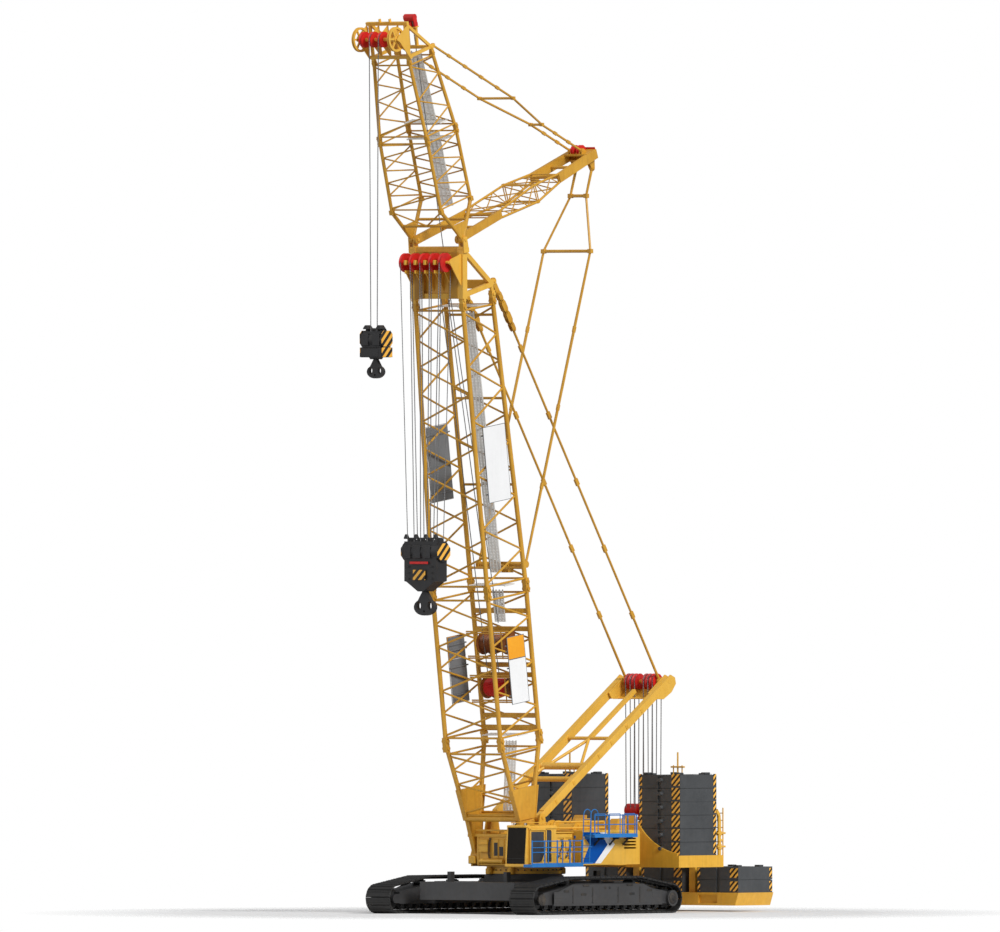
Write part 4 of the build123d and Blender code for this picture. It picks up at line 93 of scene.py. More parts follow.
def set_light():
    """A broad sun from the operator's left and a plain pale sky."""
    for name, strength, angle, towards in (
        ("key", 2.6, 24, Vector((0.16, 0.86, 0.62))),
        ("fill", 0.5, 60, Vector((0.9, -0.5, 0.45))),
    ):
        data = bpy.data.lights.new(name, "SUN")
        data.energy = strength
        data.angle = radians(angle)
        sun = bpy.data.objects.new(name, data)
        sun.rotation_euler = towards.to_track_quat("Z", "Y").to_euler()
        bpy.context.scene.collection.objects.link(sun)
    world = bpy.data.worlds.new("studio")
    bpy.context.scene.world = world
    world.use_nodes = True
    nodes, link = world.node_tree.nodes, world.node_tree.links.new
    nodes.clear()
    sky = nodes.new("ShaderNodeBackground")
    sky.inputs["Color"].default_value = (0.97, 0.98, 1.0, 1)
    sky.inputs["Strength"].default_value = 0.34
    white = nodes.new("ShaderNodeBackground")
    white.inputs["Color"].default_value = (1, 1, 1, 1)
    path = nodes.new("ShaderNodeLightPath")
    seen = nodes.new("ShaderNodeMath")
    seen.operation = "MAXIMUM"
    mix = nodes.new("ShaderNodeMixShader")
    out = nodes.new("ShaderNodeOutputWorld")
    link(path.outputs["Is Camera Ray"], seen.inputs[0])
    link(path.outputs["Is Transmission Ray"], seen.inputs[1])
    link(seen.outputs[0], mix.inputs[0])
    link(sky.outputs[0], mix.inputs[1])
    link(white.outputs[0], mix.inputs[2])
    link(mix.outputs[0], out.inputs["Surface"])


set_camera()
set_light()
bpy.context.scene.view_settings.view_transform = "Standard"


# ---- shared finishes -------------------------------------------------------------------
def new_group(name, inputs, outputs):
    """A shader node group with named values in and out."""
    tree = bpy.data.node_groups.new(name, "ShaderNodeTree")
    for label, kind, value in inputs:
        socket = tree.interface.new_socket(name=label, in_out="INPUT", socket_type=kind)
        socket.default_value = value
    for label, kind in outputs:
        tree.interface.new_socket(name=label, in_out="OUTPUT", socket_type=kind)
    return tree, tree.nodes.new("NodeGroupInput"), tree.nodes.new("NodeGroupOutput")


def step(tree, operation, a, b=None, clamp=False):
    """One Math node; a and b are sockets or numbers."""
    node = tree.nodes.new("ShaderNodeMath")
    node.operation = operation
    node.use_clamp = clamp
    for slot, value in zip(node.inputs, (a, b)):
        if isinstance(value, bpy.types.NodeSocket):
            tree.links.new(value, slot)
        elif value is not None:
            slot.default_value = value
    return node.outputs[0]


def noise(tree, vector, scale, detail=3.0, roughness=0.55):
    node = tree.nodes.new("ShaderNodeTexNoise")
    node.inputs["Detail"].default_value = detail
    node.inputs["Roughness"].default_value = roughness
    tree.links.new(vector, node.inputs["Vector"])
    if isinstance(scale, bpy.types.NodeSocket):
        tree.links.new(scale, node.inputs["Scale"])
    else:
        node.inputs["Scale"].default_value = scale
    return node.outputs["Fac"]


def contrast(tree, value, start, end):
    """Stretches a value so that start becomes 0 and end becomes 1."""
    node = tree.nodes.new("ShaderNodeMapRange")
    node.clamp = True
    node.inputs["From Min"].default_value = start
    node.inputs["From Max"].default_value = end
    tree.links.new(value, node.inputs["Value"])
    return node.outputs["Result"]


def object_place(tree):
    return tree.nodes.new("ShaderNodeTexCoord").outputs["Object"]


def make_grain():
    """Broad shade changes and a fine surface texture."""
    tree, given, out = new_group(
        "surface_grain",
        [("Scale", "NodeSocketFloat", 1.0), ("Fineness", "NodeSocketFloat", 60.0)],
        [("Shade", "NodeSocketFloat"), ("Height", "NodeSocketFloat")])
    place = object_place(tree)
    broad = noise(tree, place, given.outputs["Scale"], 4)
    middle = noise(tree, place, step(tree, "MULTIPLY", given.outputs["Scale"], 7.0), 3)
    shade = step(tree, "ADD", step(tree, "MULTIPLY", broad, 0.65), step(tree, "MULTIPLY", middle, 0.35))
    tree.links.new(contrast(tree, shade, 0.36, 0.64), out.inputs["Shade"])
    tree.links.new(noise(tree, place, given.outputs["Fineness"], 5, 0.7), out.inputs["Height"])
    return tree


def make_chips():
    """Small spots where the finish is rubbed or chipped away."""
    tree, given, out = new_group(
        "chipped_spots",
        [("Scale", "NodeSocketFloat", 9.0), ("Amount", "NodeSocketFloat", 0.3)],
        [("Mask", "NodeSocketFloat")])
    place = object_place(tree)
    spots = noise(tree, place, given.outputs["Scale"], 8, 0.72)
    where = contrast(tree, noise(tree, place, 0.8, 3), 0.45, 0.62)
    limit = step(tree, "SUBTRACT", 0.76, step(tree, "MULTIPLY", given.outputs["Amount"], 0.16))
    mask = step(tree, "MULTIPLY", step(tree, "GREATER_THAN", spots, limit), where)
    tree.links.new(mask, out.inputs["Mask"])
    return tree


def make_streaks():
    """Rain streaks down upright faces, and dirt that settles low on the machine."""
    tree, given, out = new_group(
        "weather_marks",
        [("Streaks", "NodeSocketFloat", 0.3), ("Dust", "NodeSocketFloat", 0.3),
         ("Dust Height", "NodeSocketFloat", 2.5)],
        [("Grime", "NodeSocketFloat"), ("Dust", "NodeSocketFloat")])
    place = object_place(tree)
    mapping = tree.nodes.new("ShaderNodeMapping")
    mapping.inputs["Scale"].default_value = (5.0, 5.0, 0.35)
    tree.links.new(place, mapping.inputs["Vector"])
    lines = contrast(tree, noise(tree, mapping.outputs["Vector"], 1.6, 4), 0.5, 0.75)
    normal = tree.nodes.new("ShaderNodeSeparateXYZ")
    tree.links.new(tree.nodes.new("ShaderNodeNewGeometry").outputs["Normal"], normal.inputs[0])
    up = step(tree, "MAXIMUM", normal.outputs["Z"], 0.0)
    upright = step(tree, "SUBTRACT", 1.0, step(tree, "ABSOLUTE", normal.outputs["Z"]))
    grime = step(tree, "MULTIPLY", step(tree, "MULTIPLY", lines, upright), given.outputs["Streaks"], True)
    tree.links.new(grime, out.inputs["Grime"])
    height = tree.nodes.new("ShaderNodeSeparateXYZ")
    tree.links.new(place, height.inputs[0])
    share = step(tree, "DIVIDE", height.outputs["Z"], given.outputs["Dust Height"])
    near_ground = step(tree, "SUBTRACT", 1.0, share, True)
    settled = step(tree, "ADD", near_ground, step(tree, "MULTIPLY", up, 0.4))
    patchy = contrast(tree, noise(tree, place, 2.2, 6, 0.65), 0.42, 0.68)
    dust = step(tree, "MULTIPLY", step(tree, "MULTIPLY", settled, patchy), given.outputs["Dust"], True)
    tree.links.new(dust, out.inputs["Dust"])
    return tree


def make_bands():
    """Even bands across a direction; the direction's length is bands to the metre."""
    tree, given, out = new_group(
        "even_bands",
        [("Direction", "NodeSocketVector", (1.0, 0.0, 0.0)), ("Offset", "NodeSocketFloat", 0.0),
         ("Share", "NodeSocketFloat", 0.5)],
        [("Mask", "NodeSocketFloat"), ("Wave", "NodeSocketFloat")])
    along = tree.nodes.new("ShaderNodeVectorMath")
    along.operation = "DOT_PRODUCT"
    tree.links.new(object_place(tree), along.inputs[0])
    tree.links.new(given.outputs["Direction"], along.inputs[1])
    place = step(tree, "ADD", along.outputs["Value"], given.outputs["Offset"])
    part = step(tree, "FRACT", place)
    tree.links.new(step(tree, "GREATER_THAN", part, given.outputs["Share"]), out.inputs["Mask"])
    wave = step(tree, "SINE", step(tree, "MULTIPLY", place, 2 * pi))
    tree.links.new(step(tree, "ADD", step(tree, "MULTIPLY", wave, 0.5), 0.5), out.inputs["Wave"])
    return tree


GRAIN, CHIPS, WEATHER, BANDS = make_grain(), make_chips(), make_streaks(), make_bands()


def colour_of(shade):
    """An sRGB colour, 0 to 255, as the linear one that a socket takes."""
    return tuple((c / 255 / 12.92) if c < 11 else ((c / 255 + 0.055) / 1.055) ** 2.4 for c in shade) + (1,)


def use(tree, group, **values):
    node = tree.nodes.new("ShaderNodeGroup")
    node.node_tree = group
    for label, value in values.items():
        node.inputs[label.replace("_", " ")].default_value = value
    return node


def blended(tree, mask, first, second):
    """Mixes two colours, each a socket or a plain colour, by a mask."""
    node = tree.nodes.new("ShaderNodeMix")
    node.data_type = "RGBA"
    tree.links.new(mask, node.inputs[0])
    for slot, value in ((node.inputs[6], first), (node.inputs[7], second)):
        if isinstance(value, bpy.types.NodeSocket):
            tree.links.new(value, slot)
        else:
            slot.default_value = value
    return node.outputs[2]


def plain_material(name):
    material = bpy.data.materials.new(name)
    material.use_nodes = True
    tree = material.node_tree
    return material, tree, tree.nodes["Principled BSDF"]


def roughened(tree, shader, value, smoothest, roughest):
    """Lets a value from 0 to 1 set the roughness between two limits."""
    spread = tree.nodes.new("ShaderNodeMapRange")
    spread.inputs["To Min"].default_value = smoothest
    spread.inputs["To Max"].default_value = roughest
    tree.links.new(value, spread.inputs["Value"])
    tree.links.new(spread.outputs["Result"], shader.inputs["Roughness"])


def embossed(tree, shader, height, strength, depth):
    """Bump from a height between 0 and 1."""
    relief = tree.nodes.new("ShaderNodeBump")
    relief.inputs["Strength"].default_value = strength
    relief.inputs["Distance"].default_value = depth
    tree.links.new(height, relief.inputs["Height"])
    tree.links.new(relief.outputs["Normal"], shader.inputs["Normal"])


def coated(name, light, dark, rough=(0.38, 0.55), streaks=0.35, dust=0.25, dust_height=2.2, chips=0.25,
           bare=(70, 64, 58), dirt=(60, 48, 34), soil=(150, 132, 108), fine=90.0, bump=0.12,
           bands=None, band_colour=None, metal=0.0, coat=0.0, gloss=0.5):
    """Painted or bare metal with shade changes, rain streaks, settled dust, chips and a fine grain."""
    material, tree, shader = plain_material(name)
    grain = use(tree, GRAIN, Scale=0.7, Fineness=fine)
    weather = use(tree, WEATHER, Streaks=streaks, Dust=dust, Dust_Height=dust_height)
    chipped = use(tree, CHIPS, Scale=9.0, Amount=chips)
    colour = blended(tree, grain.outputs["Shade"], colour_of(dark), colour_of(light))
    if bands:
        stripe = use(tree, BANDS, Direction=bands, Share=0.5)
        colour = blended(tree, stripe.outputs["Mask"], colour, colour_of(band_colour))
    colour = blended(tree, weather.outputs["Grime"], colour, colour_of(dirt))
    colour = blended(tree, weather.outputs["Dust"], colour, colour_of(soil))
    colour = blended(tree, chipped.outputs["Mask"], colour, colour_of(bare))
    tree.links.new(colour, shader.inputs["Base Color"])
    roughened(tree, shader, grain.outputs["Height"], *rough)
    shader.inputs["Metallic"].default_value = metal
    shader.inputs["Coat Weight"].default_value = coat
    shader.inputs["Specular IOR Level"].default_value = gloss
    embossed(tree, shader, grain.outputs["Height"], bump, 0.01)
    return material


def hazard(name, bands, dark):
    """Slanting dark bands on warm yellow."""
    return coated(name, (252, 190, 76), (244, 178, 62), streaks=0.06, chips=0.15,
                  bands=bands, band_colour=dark)


def glass(name, tint, through, gloss=0.5):
    """Tinted glazing with a film of dust."""
    material, tree, shader = plain_material(name)
    grain = use(tree, GRAIN, Scale=1.2, Fineness=30.0)
    colour = blended(tree, grain.outputs["Shade"], colour_of(tint), colour_of([c + 10 for c in tint]))
    tree.links.new(colour, shader.inputs["Base Color"])
    roughened(tree, shader, grain.outputs["Shade"], 0.03, 0.14)
    shader.inputs["Transmission Weight"].default_value = through
    shader.inputs["IOR"].default_value = 1.45
    shader.inputs["Specular IOR Level"].default_value = gloss
    return material


def rope_steel(name):
    """Laid wire rope: lighter along the strands and darker in the grooves between them."""
    material, tree, shader = plain_material(name)
    strands = use(tree, BANDS, Direction=(14.0, 14.0, 9.0), Share=0.5)
    grain = use(tree, GRAIN, Scale=1.5, Fineness=120.0)
    colour = blended(tree, strands.outputs["Wave"], colour_of((96, 96, 98)), colour_of((176, 177, 180)))
    colour = blended(tree, grain.outputs["Shade"], colour, colour_of((120, 118, 116)))
    tree.links.new(colour, shader.inputs["Base Color"])
    roughened(tree, shader, grain.outputs["Height"], 0.35, 0.6)
    shader.inputs["Metallic"].default_value = 0.5
    embossed(tree, shader, strands.outputs["Wave"], 0.6, 0.004)
    return material


def woven(name, thread, gap):
    """Seat cloth: a plain weave."""
    material, tree, shader = plain_material(name)
    over = use(tree, BANDS, Direction=(0.0, 160.0, 0.0), Share=0.5)
    under = use(tree, BANDS, Direction=(120.0, 0.0, 120.0), Share=0.5)
    weave = step(tree, "MULTIPLY", over.outputs["Wave"], under.outputs["Wave"])
    tree.links.new(blended(tree, weave, colour_of(gap), colour_of(thread)), shader.inputs["Base Color"])
    shader.inputs["Roughness"].default_value = 0.9
    shader.inputs["Sheen Weight"].default_value = 0.3
    embossed(tree, shader, weave, 0.4, 0.002)
    return material


YELLOW = coated("crane_yellow", (238, 186, 74), (228, 174, 58),
                streaks=0.1, dust=0.06, chips=0.08, coat=0.12)
DEEP_YELLOW = coated("girder_yellow", (232, 178, 62), (218, 164, 48), streaks=0.15, dust=0.1, chips=0.12)
# A darker copy of the crane yellow for the lattice sections, pendants, guards, gussets and links: painted shade
# for the lesser light on the thin bars.
SHADED_LATTICE_YELLOW = coated("lattice_painted_shade_yellow", (218, 164, 52), (202, 146, 38),
                 streaks=0.2, dust=0.06, chips=0.15, coat=0.08)
# A darker copy of the crane yellow for the boom head's front plates: painted shade for faces that the light
# misses.
PAINTED_SHADE_YELLOW = coated("head_front_painted_shade_yellow", (188, 138, 32), (172, 122, 24), streaks=0.15, dust=0.0, chips=0.1)
BLUE = coated("walkway_blue", (34, 124, 196), (20, 106, 180), streaks=0.12, dust=0.04, chips=0.15)
PANEL_BLUE = coated("panel_blue", (0, 86, 172), (0, 76, 160),
                    streaks=0.06, dust=0.0, chips=0.04, gloss=0.12)
RED = coated("sheave_red", (222, 38, 34), (190, 24, 24), streaks=0.1, dust=0.03, chips=0.15)
DARK_GREY = coated("crawler_grey", (61, 61, 62), (49, 49, 50), streaks=0.2, dust=0.1, dust_height=1.0,
                   chips=0.2, bare=(96, 93, 90), soil=(110, 100, 88))
TRACK = coated("track_steel", (50, 50, 50), (36, 36, 36), rough=(0.45, 0.7), streaks=0.1, dust=0.16,
               dust_height=0.7, chips=0.6, bare=(112, 110, 106), soil=(104, 94, 82), metal=0.3,
               bump=0.3, fine=45.0)
BALLAST = coated("ballast_grey", (76, 78, 80), (66, 68, 70), streaks=0.14, dust=0.04, chips=0.12,
                 bare=(112, 112, 112), dirt=(44, 44, 45), soil=(104, 104, 104), gloss=0.35)
GLASS = glass("tinted_glass", (62, 63, 68), 0.15)
SCREEN = glass("front_glass", (20, 15, 9), 0.0, 0.15)
FABRIC = woven("seat_cloth", (52, 52, 56), (22, 22, 25))
ENGINE = coated("engine_iron", (92, 94, 96), (66, 68, 70), rough=(0.5, 0.75), chips=0.5, fine=35.0, bump=0.4)
GRATING = coated("galvanised_mesh", (244, 244, 240), (226, 226, 222), rough=(0.45, 0.65), streaks=0.12,
                 dust=0.05, chips=0.05, bare=(150, 148, 144))
DRUM = coated("drum_brown", (168, 96, 34), (134, 72, 26), rough=(0.4, 0.65), chips=0.4,
              bands=(0.0, 16.0, 0.0), band_colour=(122, 66, 26))
BLACK = coated("hook_black", (46, 46, 48), (34, 34, 36), rough=(0.35, 0.55), chips=0.3, bare=(96, 92, 88))
ROPE = rope_steel("wire_rope")
WHITE = coated("sign_white", (248, 248, 248), (243, 243, 243), streaks=0.03, dust=0.02, chips=0.02)
SIGN_GREY = coated("sign_back_grey", (126, 128, 130), (119, 121, 123), streaks=0.04, chips=0.04)
ORANGE = coated("sign_orange", (250, 172, 34), (244, 162, 26), streaks=0.06, chips=0.05)
# Black rubber, also used for the dark plates of painted shade in the track frame covers' holes.
RUBBER_AND_HOLE_SHADE = coated("black_rubber_and_hole_shade", (34, 34, 35), (24, 24, 25), rough=(0.65, 0.85), chips=0.0, fine=150.0)
CHROME = coated("bright_steel", (190, 191, 194), (168, 170, 172), rough=(0.15, 0.3), metal=0.9, chips=0.1)
HAZARD = hazard("hazard_on_front", (0.0, -3.9, 3.9), (40, 30, 20))
HAZARD_SIDE = hazard("hazard_on_side", (3.9, 0.0, 3.9), (40, 30, 20))
HAZARD_WIDE = hazard("wide_hazard_on_side", (2.5, 0.0, 2.5), (34, 30, 26))
HAZARD_PANEL = hazard("wide_hazard_on_front", (0.0, -2.9, 2.9), (34, 30, 26))
LAMP = coated("lamp_lens", (236, 238, 240), (214, 216, 220), rough=(0.05, 0.15), chips=0.0, streaks=0.05)

CAD_FINISH = {
    "yellow_paint": YELLOW, "dark_grey_paint": DARK_GREY, "track_steel": TRACK,
    "ballast_grey_paint": BALLAST, "blue_paint": BLUE, "tinted_glass": GLASS, "red_paint": RED,
    "seat_fabric": FABRIC, "engine_iron": ENGINE, "galvanised_grating": GRATING,
    "winch_brown": DRUM, "hook_black_paint": BLACK,
}
for part in frame["record"]["subparts"]:
    node = frame["nodes"][part["node"]]
    finish = CAD_FINISH[part["material_slot"]]
    if part["node"] in ("turntable_frame", "ballast_tray", "lower_ballast_tray", "deck_winches"):
        finish = DEEP_YELLOW
    node.data.materials.clear()
    node.data.materials.append(finish)


# ---- floor -----------------------------------------------------------------------------
def lay_floor():
    """A pale round floor that fades out into the white background."""
    radius, fade_start, fade_end = 22, 14.0, 21.5
    bpy.ops.object.select_all(action="DESELECT")
    bpy.ops.mesh.primitive_circle_add(vertices=96, radius=radius, fill_type="NGON", location=(0, 0, 0))
    floor = bpy.context.object
    floor.name = "floor"
    material, tree, shader = plain_material("pale_floor")
    grain = use(tree, GRAIN, Scale=0.4, Fineness=12.0)
    colour = blended(tree, grain.outputs["Shade"], (0.86, 0.86, 0.86, 1), (0.9, 0.9, 0.9, 1))
    tree.links.new(colour, shader.inputs["Base Color"])
    shader.inputs["Roughness"].default_value = 0.9
    length = tree.nodes.new("ShaderNodeVectorMath")
    length.operation = "LENGTH"
    tree.links.new(object_place(tree), length.inputs[0])
    fade = contrast(tree, length.outputs["Value"], fade_start, fade_end)
    tree.links.new(step(tree, "SUBTRACT", 1.0, fade, True), shader.inputs["Alpha"])
    floor.data.materials.append(material)


lay_floor()


# ---- workshop --------------------------------------------------------------------------
def begin():
    if bpy.context.object and bpy.context.object.mode != "OBJECT":
        bpy.ops.object.mode_set(mode="OBJECT")
    bpy.ops.object.select_all(action="DESELECT")


def pick(*pieces):
    """Selects these pieces alone, the first one active."""
    begin()
    for piece in pieces:
        piece.select_set(True)
    bpy.context.view_layer.objects.active = pieces[0]


def settle():
    """Back to object mode, with the place written into the mesh."""
    if bpy.context.object.mode != "OBJECT":
        bpy.ops.object.mode_set(mode="OBJECT")
    bpy.ops.object.transform_apply(location=True, rotation=True, scale=True)
    return bpy.context.object


def slab(lowest, highest, soft=0.0, cuts=()):
    """A block between two corners, with its edges bevelled; each cut is a point and the
    direction of the side that goes."""
    begin()
    lowest, highest = Vector(lowest), Vector(highest)
    bpy.ops.mesh.primitive_cube_add(size=1, location=(lowest + highest) / 2)
    bpy.context.object.scale = highest - lowest
    bpy.ops.object.transform_apply(location=True, rotation=True, scale=True)
    bpy.ops.object.mode_set(mode="EDIT")
    for point, away in cuts:
        bpy.ops.mesh.select_all(action="SELECT")
        bpy.ops.mesh.bisect(
            plane_co=point, plane_no=Vector(away).normalized(), use_fill=True, clear_outer=True)
    if soft:
        bpy.ops.mesh.select_all(action="SELECT")
        bpy.ops.mesh.bevel(offset=soft, offset_type="OFFSET", segments=1, affect="EDGES")
    return settle()


def turned(start, axis, profile, sides=24):
    """A turned part: profile is a list of (distance along the axis, radius)."""
    begin()
    axis, start = Vector(axis).normalized(), Vector(start)
    at, radius = profile[0]
    bpy.ops.mesh.primitive_circle_add(
        vertices=sides, radius=radius, fill_type="NGON", location=start + axis * at,
        rotation=axis.to_track_quat("Z", "Y").to_euler())
    bpy.ops.object.mode_set(mode="EDIT")
    bpy.ops.mesh.select_all(action="SELECT")
    for (here, inner), (there, outer) in zip(profile, profile[1:]):
        bpy.ops.mesh.extrude_region_move(TRANSFORM_OT_translate={"value": axis * (there - here)})
        if outer != inner:
            bpy.ops.transform.resize(value=(outer / inner,) * 3, center_override=start + axis * there)
    bpy.ops.mesh.select_all(action="SELECT")
    bpy.ops.mesh.normals_make_consistent(inside=False)
    return settle()


def rod(start, end, radius, sides=8):
    """A plain round bar or tube between two points."""
    start, end = Vector(start), Vector(end)
    return turned(start, end - start, [(0, radius), ((end - start).length, radius)], sides)


def bent_rod(points, radius, sides=8):
    """A bar through several points, with short overlapping runs."""
    return joined([rod(a, b, radius, sides) for a, b in zip(points, points[1:])])


def copied(piece, offset=(0, 0, 0)):
    """A copy with a mesh of its own."""
    copy = piece.copy()
    copy.data = piece.data.copy()
    bpy.context.scene.collection.objects.link(copy)
    copy.data.transform(Matrix.Translation(Vector(offset)))
    return copy


def row(piece, count, pitch):
    """The piece repeated in a row, as one mesh."""
    pick(piece)
    repeat = piece.modifiers.new("row", "ARRAY")
    repeat.use_relative_offset = False
    repeat.use_constant_offset = True
    repeat.constant_offset_displace = pitch
    repeat.count = count
    bpy.ops.object.modifier_apply(modifier="row")
    return piece


def joined(pieces):
    pick(*pieces)
    if len(pieces) > 1:
        bpy.ops.object.join()
    return pieces[0]


def placed(piece, matrix):
    """Moves a finished shape from its own frame to the machine's."""
    piece.data.transform(matrix)
    return piece


def tilted(place, angle):
    """A frame at a place, turned about Y."""
    return Matrix.Translation(place) @ Matrix.Rotation(angle, 4, "Y")


def upright(place, way):
    """A frame at a place, with its Z along a direction."""
    return Matrix.Translation(place) @ Z.rotation_difference(way).to_matrix().to_4x4()


def finish_piece(pieces, name, paint):
    """Joins the shapes into one piece with its name, paint and shading."""
    piece = joined(list(pieces))
    piece.name = name
    piece.data.name = name
    piece.data.materials.clear()
    piece.data.materials.append(paint)
    pick(piece)
    bpy.ops.object.shade_smooth_by_angle(angle=radians(35))
    return piece


def fit(name, body, paint, pieces):
    """Joins the shapes into one named piece, paints it and fixes it to a body."""
    piece = finish_piece(pieces, name, paint)
    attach(piece, body)
    return piece


def strung(name, pieces):
    """Rope runs between two bodies that one joint connects."""
    piece = finish_piece(pieces, name, ROPE)
    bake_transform(piece)
    return piece


def pin_of(joint):
    return Vector(JOINT[joint]["pos_m"])


# the boom's, jib's and strut's own frames: X forward, Y left, Z along the section
BOOM = tilted(pin_of("boom_luff"), radians(7.95))
JIB = tilted(pin_of("jib_luff"), radians(16.8))
STRUT = tilted(pin_of("jib_luff"), radians(20.56 - 90))
MAST_HEAD = Vector((SLEW - 7.95, 0, 9.62))


# ---- crawler tracks --------------------------------------------------------------------
END_WHEEL, TOP_ROLLER = (4.35, 0.62, 0.62), (2.2, 1.31, 0.26)     # out from the axis, height, radius
SHOES = 62


def track_arcs():
    """The arcs of the shoes' outer line: (middle x, middle z, radius, first angle, last angle)."""
    (wheel_x, wheel_z, wheel_r), (roller_x, roller_z, roller_r) = END_WHEEL, TOP_ROLLER
    reach, rise = roller_x - wheel_x, roller_z - wheel_z
    slope = atan2(rise, reach) - atan2(
        (reach * reach + rise * rise - (wheel_r - roller_r) ** 2) ** 0.5, wheel_r - roller_r)
    return [(wheel_x, wheel_z, wheel_r, -pi / 2, slope),
            (roller_x, roller_z, roller_r, slope, pi / 2),
            (-roller_x, roller_z, roller_r, pi / 2, pi - slope),
            (-wheel_x, wheel_z, wheel_r, pi - slope, 3 * pi / 2)]


def on_circle(circle, angle):
    return Vector((circle[0] + circle[2] * cos(angle), 0, circle[1] + circle[2] * sin(angle)))


def shoe_places(count):
    """Where each shoe sits, as its middle and its outward angle, and the pitch between them."""
    arcs = track_arcs()
    runs = []
    for this, following in zip(arcs, arcs[1:] + arcs[:1]):
        runs.append(("arc", this, this[2] * (this[4] - this[3])))
        start, end = on_circle(this, this[4]), on_circle(following, following[3])
        runs.append(("run", (start, end, this[4]), (end - start).length))
    pitch = sum(run[2] for run in runs) / count
    places, run, walked = [], 0, 0.0
    for i in range(count):
        at = (i + 0.5) * pitch
        while at > walked + runs[run][2]:
            walked += runs[run][2]
            run += 1
        kind, shape, length = runs[run]
        if kind == "arc":
            angle = shape[3] + (at - walked) / shape[2]
            places.append((on_circle(shape, angle), angle))
        else:
            start, end, angle = shape
            places.append((start.lerp(end, (at - walked) / length), angle))
    return places, pitch


def one_shoe(pitch):
    """A flat shoe with a rib along each edge, end lugs and its pair of links; Z is outward."""
    half, long = 0.652, pitch / 2 - 0.02
    plate = slab((-long, -half, -0.085), (long, half, -0.034), 0.012)
    ribs = [slab((x - 0.035, -half + 0.03, -0.05), (x + 0.035, half - 0.03, 0), 0.014)
            for x in (-long + 0.05, long - 0.05)]
    links = [slab((-long - 0.01, y - 0.055, -0.155), (long + 0.01, y + 0.055, -0.08), 0.01)
             for y in (-0.27, 0.27)]
    lugs = [slab((-0.05, y - 0.03, -0.075), (0.05, y + 0.03, -0.012), 0.01)
            for y in (-half + 0.05, half - 0.05)]
    return joined([plate] + ribs + links + lugs)


def make_tracks():
    places, pitch = shoe_places(SHOES)
    for name in ("left", "right"):
        middle = centre("track_" + name).y
        shoe = one_shoe(pitch)
        shoes = [placed(copied(shoe), tilted(Vector((SLEW, middle, 0)) + spot, pi / 2 - angle))
                 for spot, angle in places]
        bpy.data.objects.remove(shoe)
        belt = fit("track_shoes_" + name, "undercarriage", TRACK, shoes)
        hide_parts("track_" + name)


def make_track_frame_details():
    """Outer cover sheets with their holes as dark plates of painted shade, joints, towing eyes and tensioner
    guards.
    """
    for side, name in ((1, "left"), (-1, "right")):
        face = high("track_frame_left").y if side > 0 else low("track_frame_right").y
        out = Y * side

        def plate(x0, x1, z0, z1, proud, soft=0.012, cuts=()):
            near, far = sorted((face - side * 0.02, face + side * proud))
            return slab((SLEW + x0, near, z0), (SLEW + x1, far, z1), soft, cuts)

        covers = [plate(-3.55, 3.55, 0.42, 1.25, 0.012, 0.008,
                        [((SLEW + s * 2.35, 0, 1.25), (s * 0.34, 0, 1)) for s in (-1, 1)]),
                  plate(-3.6, 3.6, 0.36, 0.43, 0.03)]
        covers += [plate(x - 0.02, x + 0.02, 0.42, 1.16, 0.02, 0.006) for x in (-2.2, -0.75, 0.95, 2.25)]
        covers += [plate(x - 0.3, x + 0.3, 0.66, 0.95, 0.026, 0.02) for x in (-3.25, 3.25)]
        fit("track_frame_covers_" + name, "undercarriage", DARK_GREY, covers)
        # Four dark plates stand where the covers have holes: painted shade in the holes.
        dark = [plate(x - 0.17, x + 0.17, z - 0.05, z + 0.05, 0.03, 0.012) for x, z in (
            (-2.75, 0.97), (-1.6, 0.83), (1.6, 0.83), (2.75, 0.97))]
        dark += [plate(x - 0.018, x + 0.018, 0.46, 1.12, 0.024, 0.004) for x in (-2.12, -0.68, 1.02, 2.32)]
        dark += [plate(x - 0.2, x + 0.2, 1.16, 1.235, 0.05, 0.02) for x in (-1.45, 1.45)]
        seat = face + side * 0.004
        dark += [turned((SLEW + x, seat, 1.09), out, [(0, 0.062), (0.018, 0.062), (0.024, 0.045)], 14)
                 for x in (-0.12, 0.16)]
        dark += [row(turned((SLEW + x, seat, 0.5), out, [(0, 0.022), (0.02, 0.022), (0.026, 0.014)], 6), 3,
                     (0, 0, 0.26)) for x in (-2.1, -0.65, 1.05, 2.35)]
        wheel_x, hub_z, ring = END_WHEEL[0], END_WHEEL[1], 0.19
        for x in (SLEW - wheel_x, SLEW + wheel_x):
            dark.append(turned((x, face - side * 0.05, hub_z), out,
                               [(0, 0.24), (0.07, 0.24), (0.09, 0.21), (0.1, 0.12), (0.12, 0.1)], 24))
            for k in range(8):
                turn = k * pi / 4
                dark.append(turned((x + ring * cos(turn), face, hub_z + ring * sin(turn)), out,
                                   [(0, 0.022), (0.045, 0.022), (0.052, 0.014)], 6))
        fit("track_frame_fittings_and_hole_shade_" + name, "undercarriage", RUBBER_AND_HOLE_SHADE, dark)


# ---- ropes -----------------------------------------------------------------------------
ROPE_RADIUS = 0.02


def over_sheave(middle, radius):
    """Rope lying over the upper half of a sheave."""
    begin()
    bpy.ops.mesh.primitive_torus_add(
        location=middle, rotation=(pi / 2, 0, 0), major_radius=radius, minor_radius=ROPE_RADIUS * 0.9,
        major_segments=32, minor_segments=6)
    bpy.ops.object.mode_set(mode="EDIT")
    bpy.ops.mesh.select_all(action="SELECT")
    bpy.ops.mesh.bisect(plane_co=middle, plane_no=-Z, clear_outer=True, use_fill=True)
    return settle()


def wire(start, end):
    return rod(start, end, ROPE_RADIUS, 6)


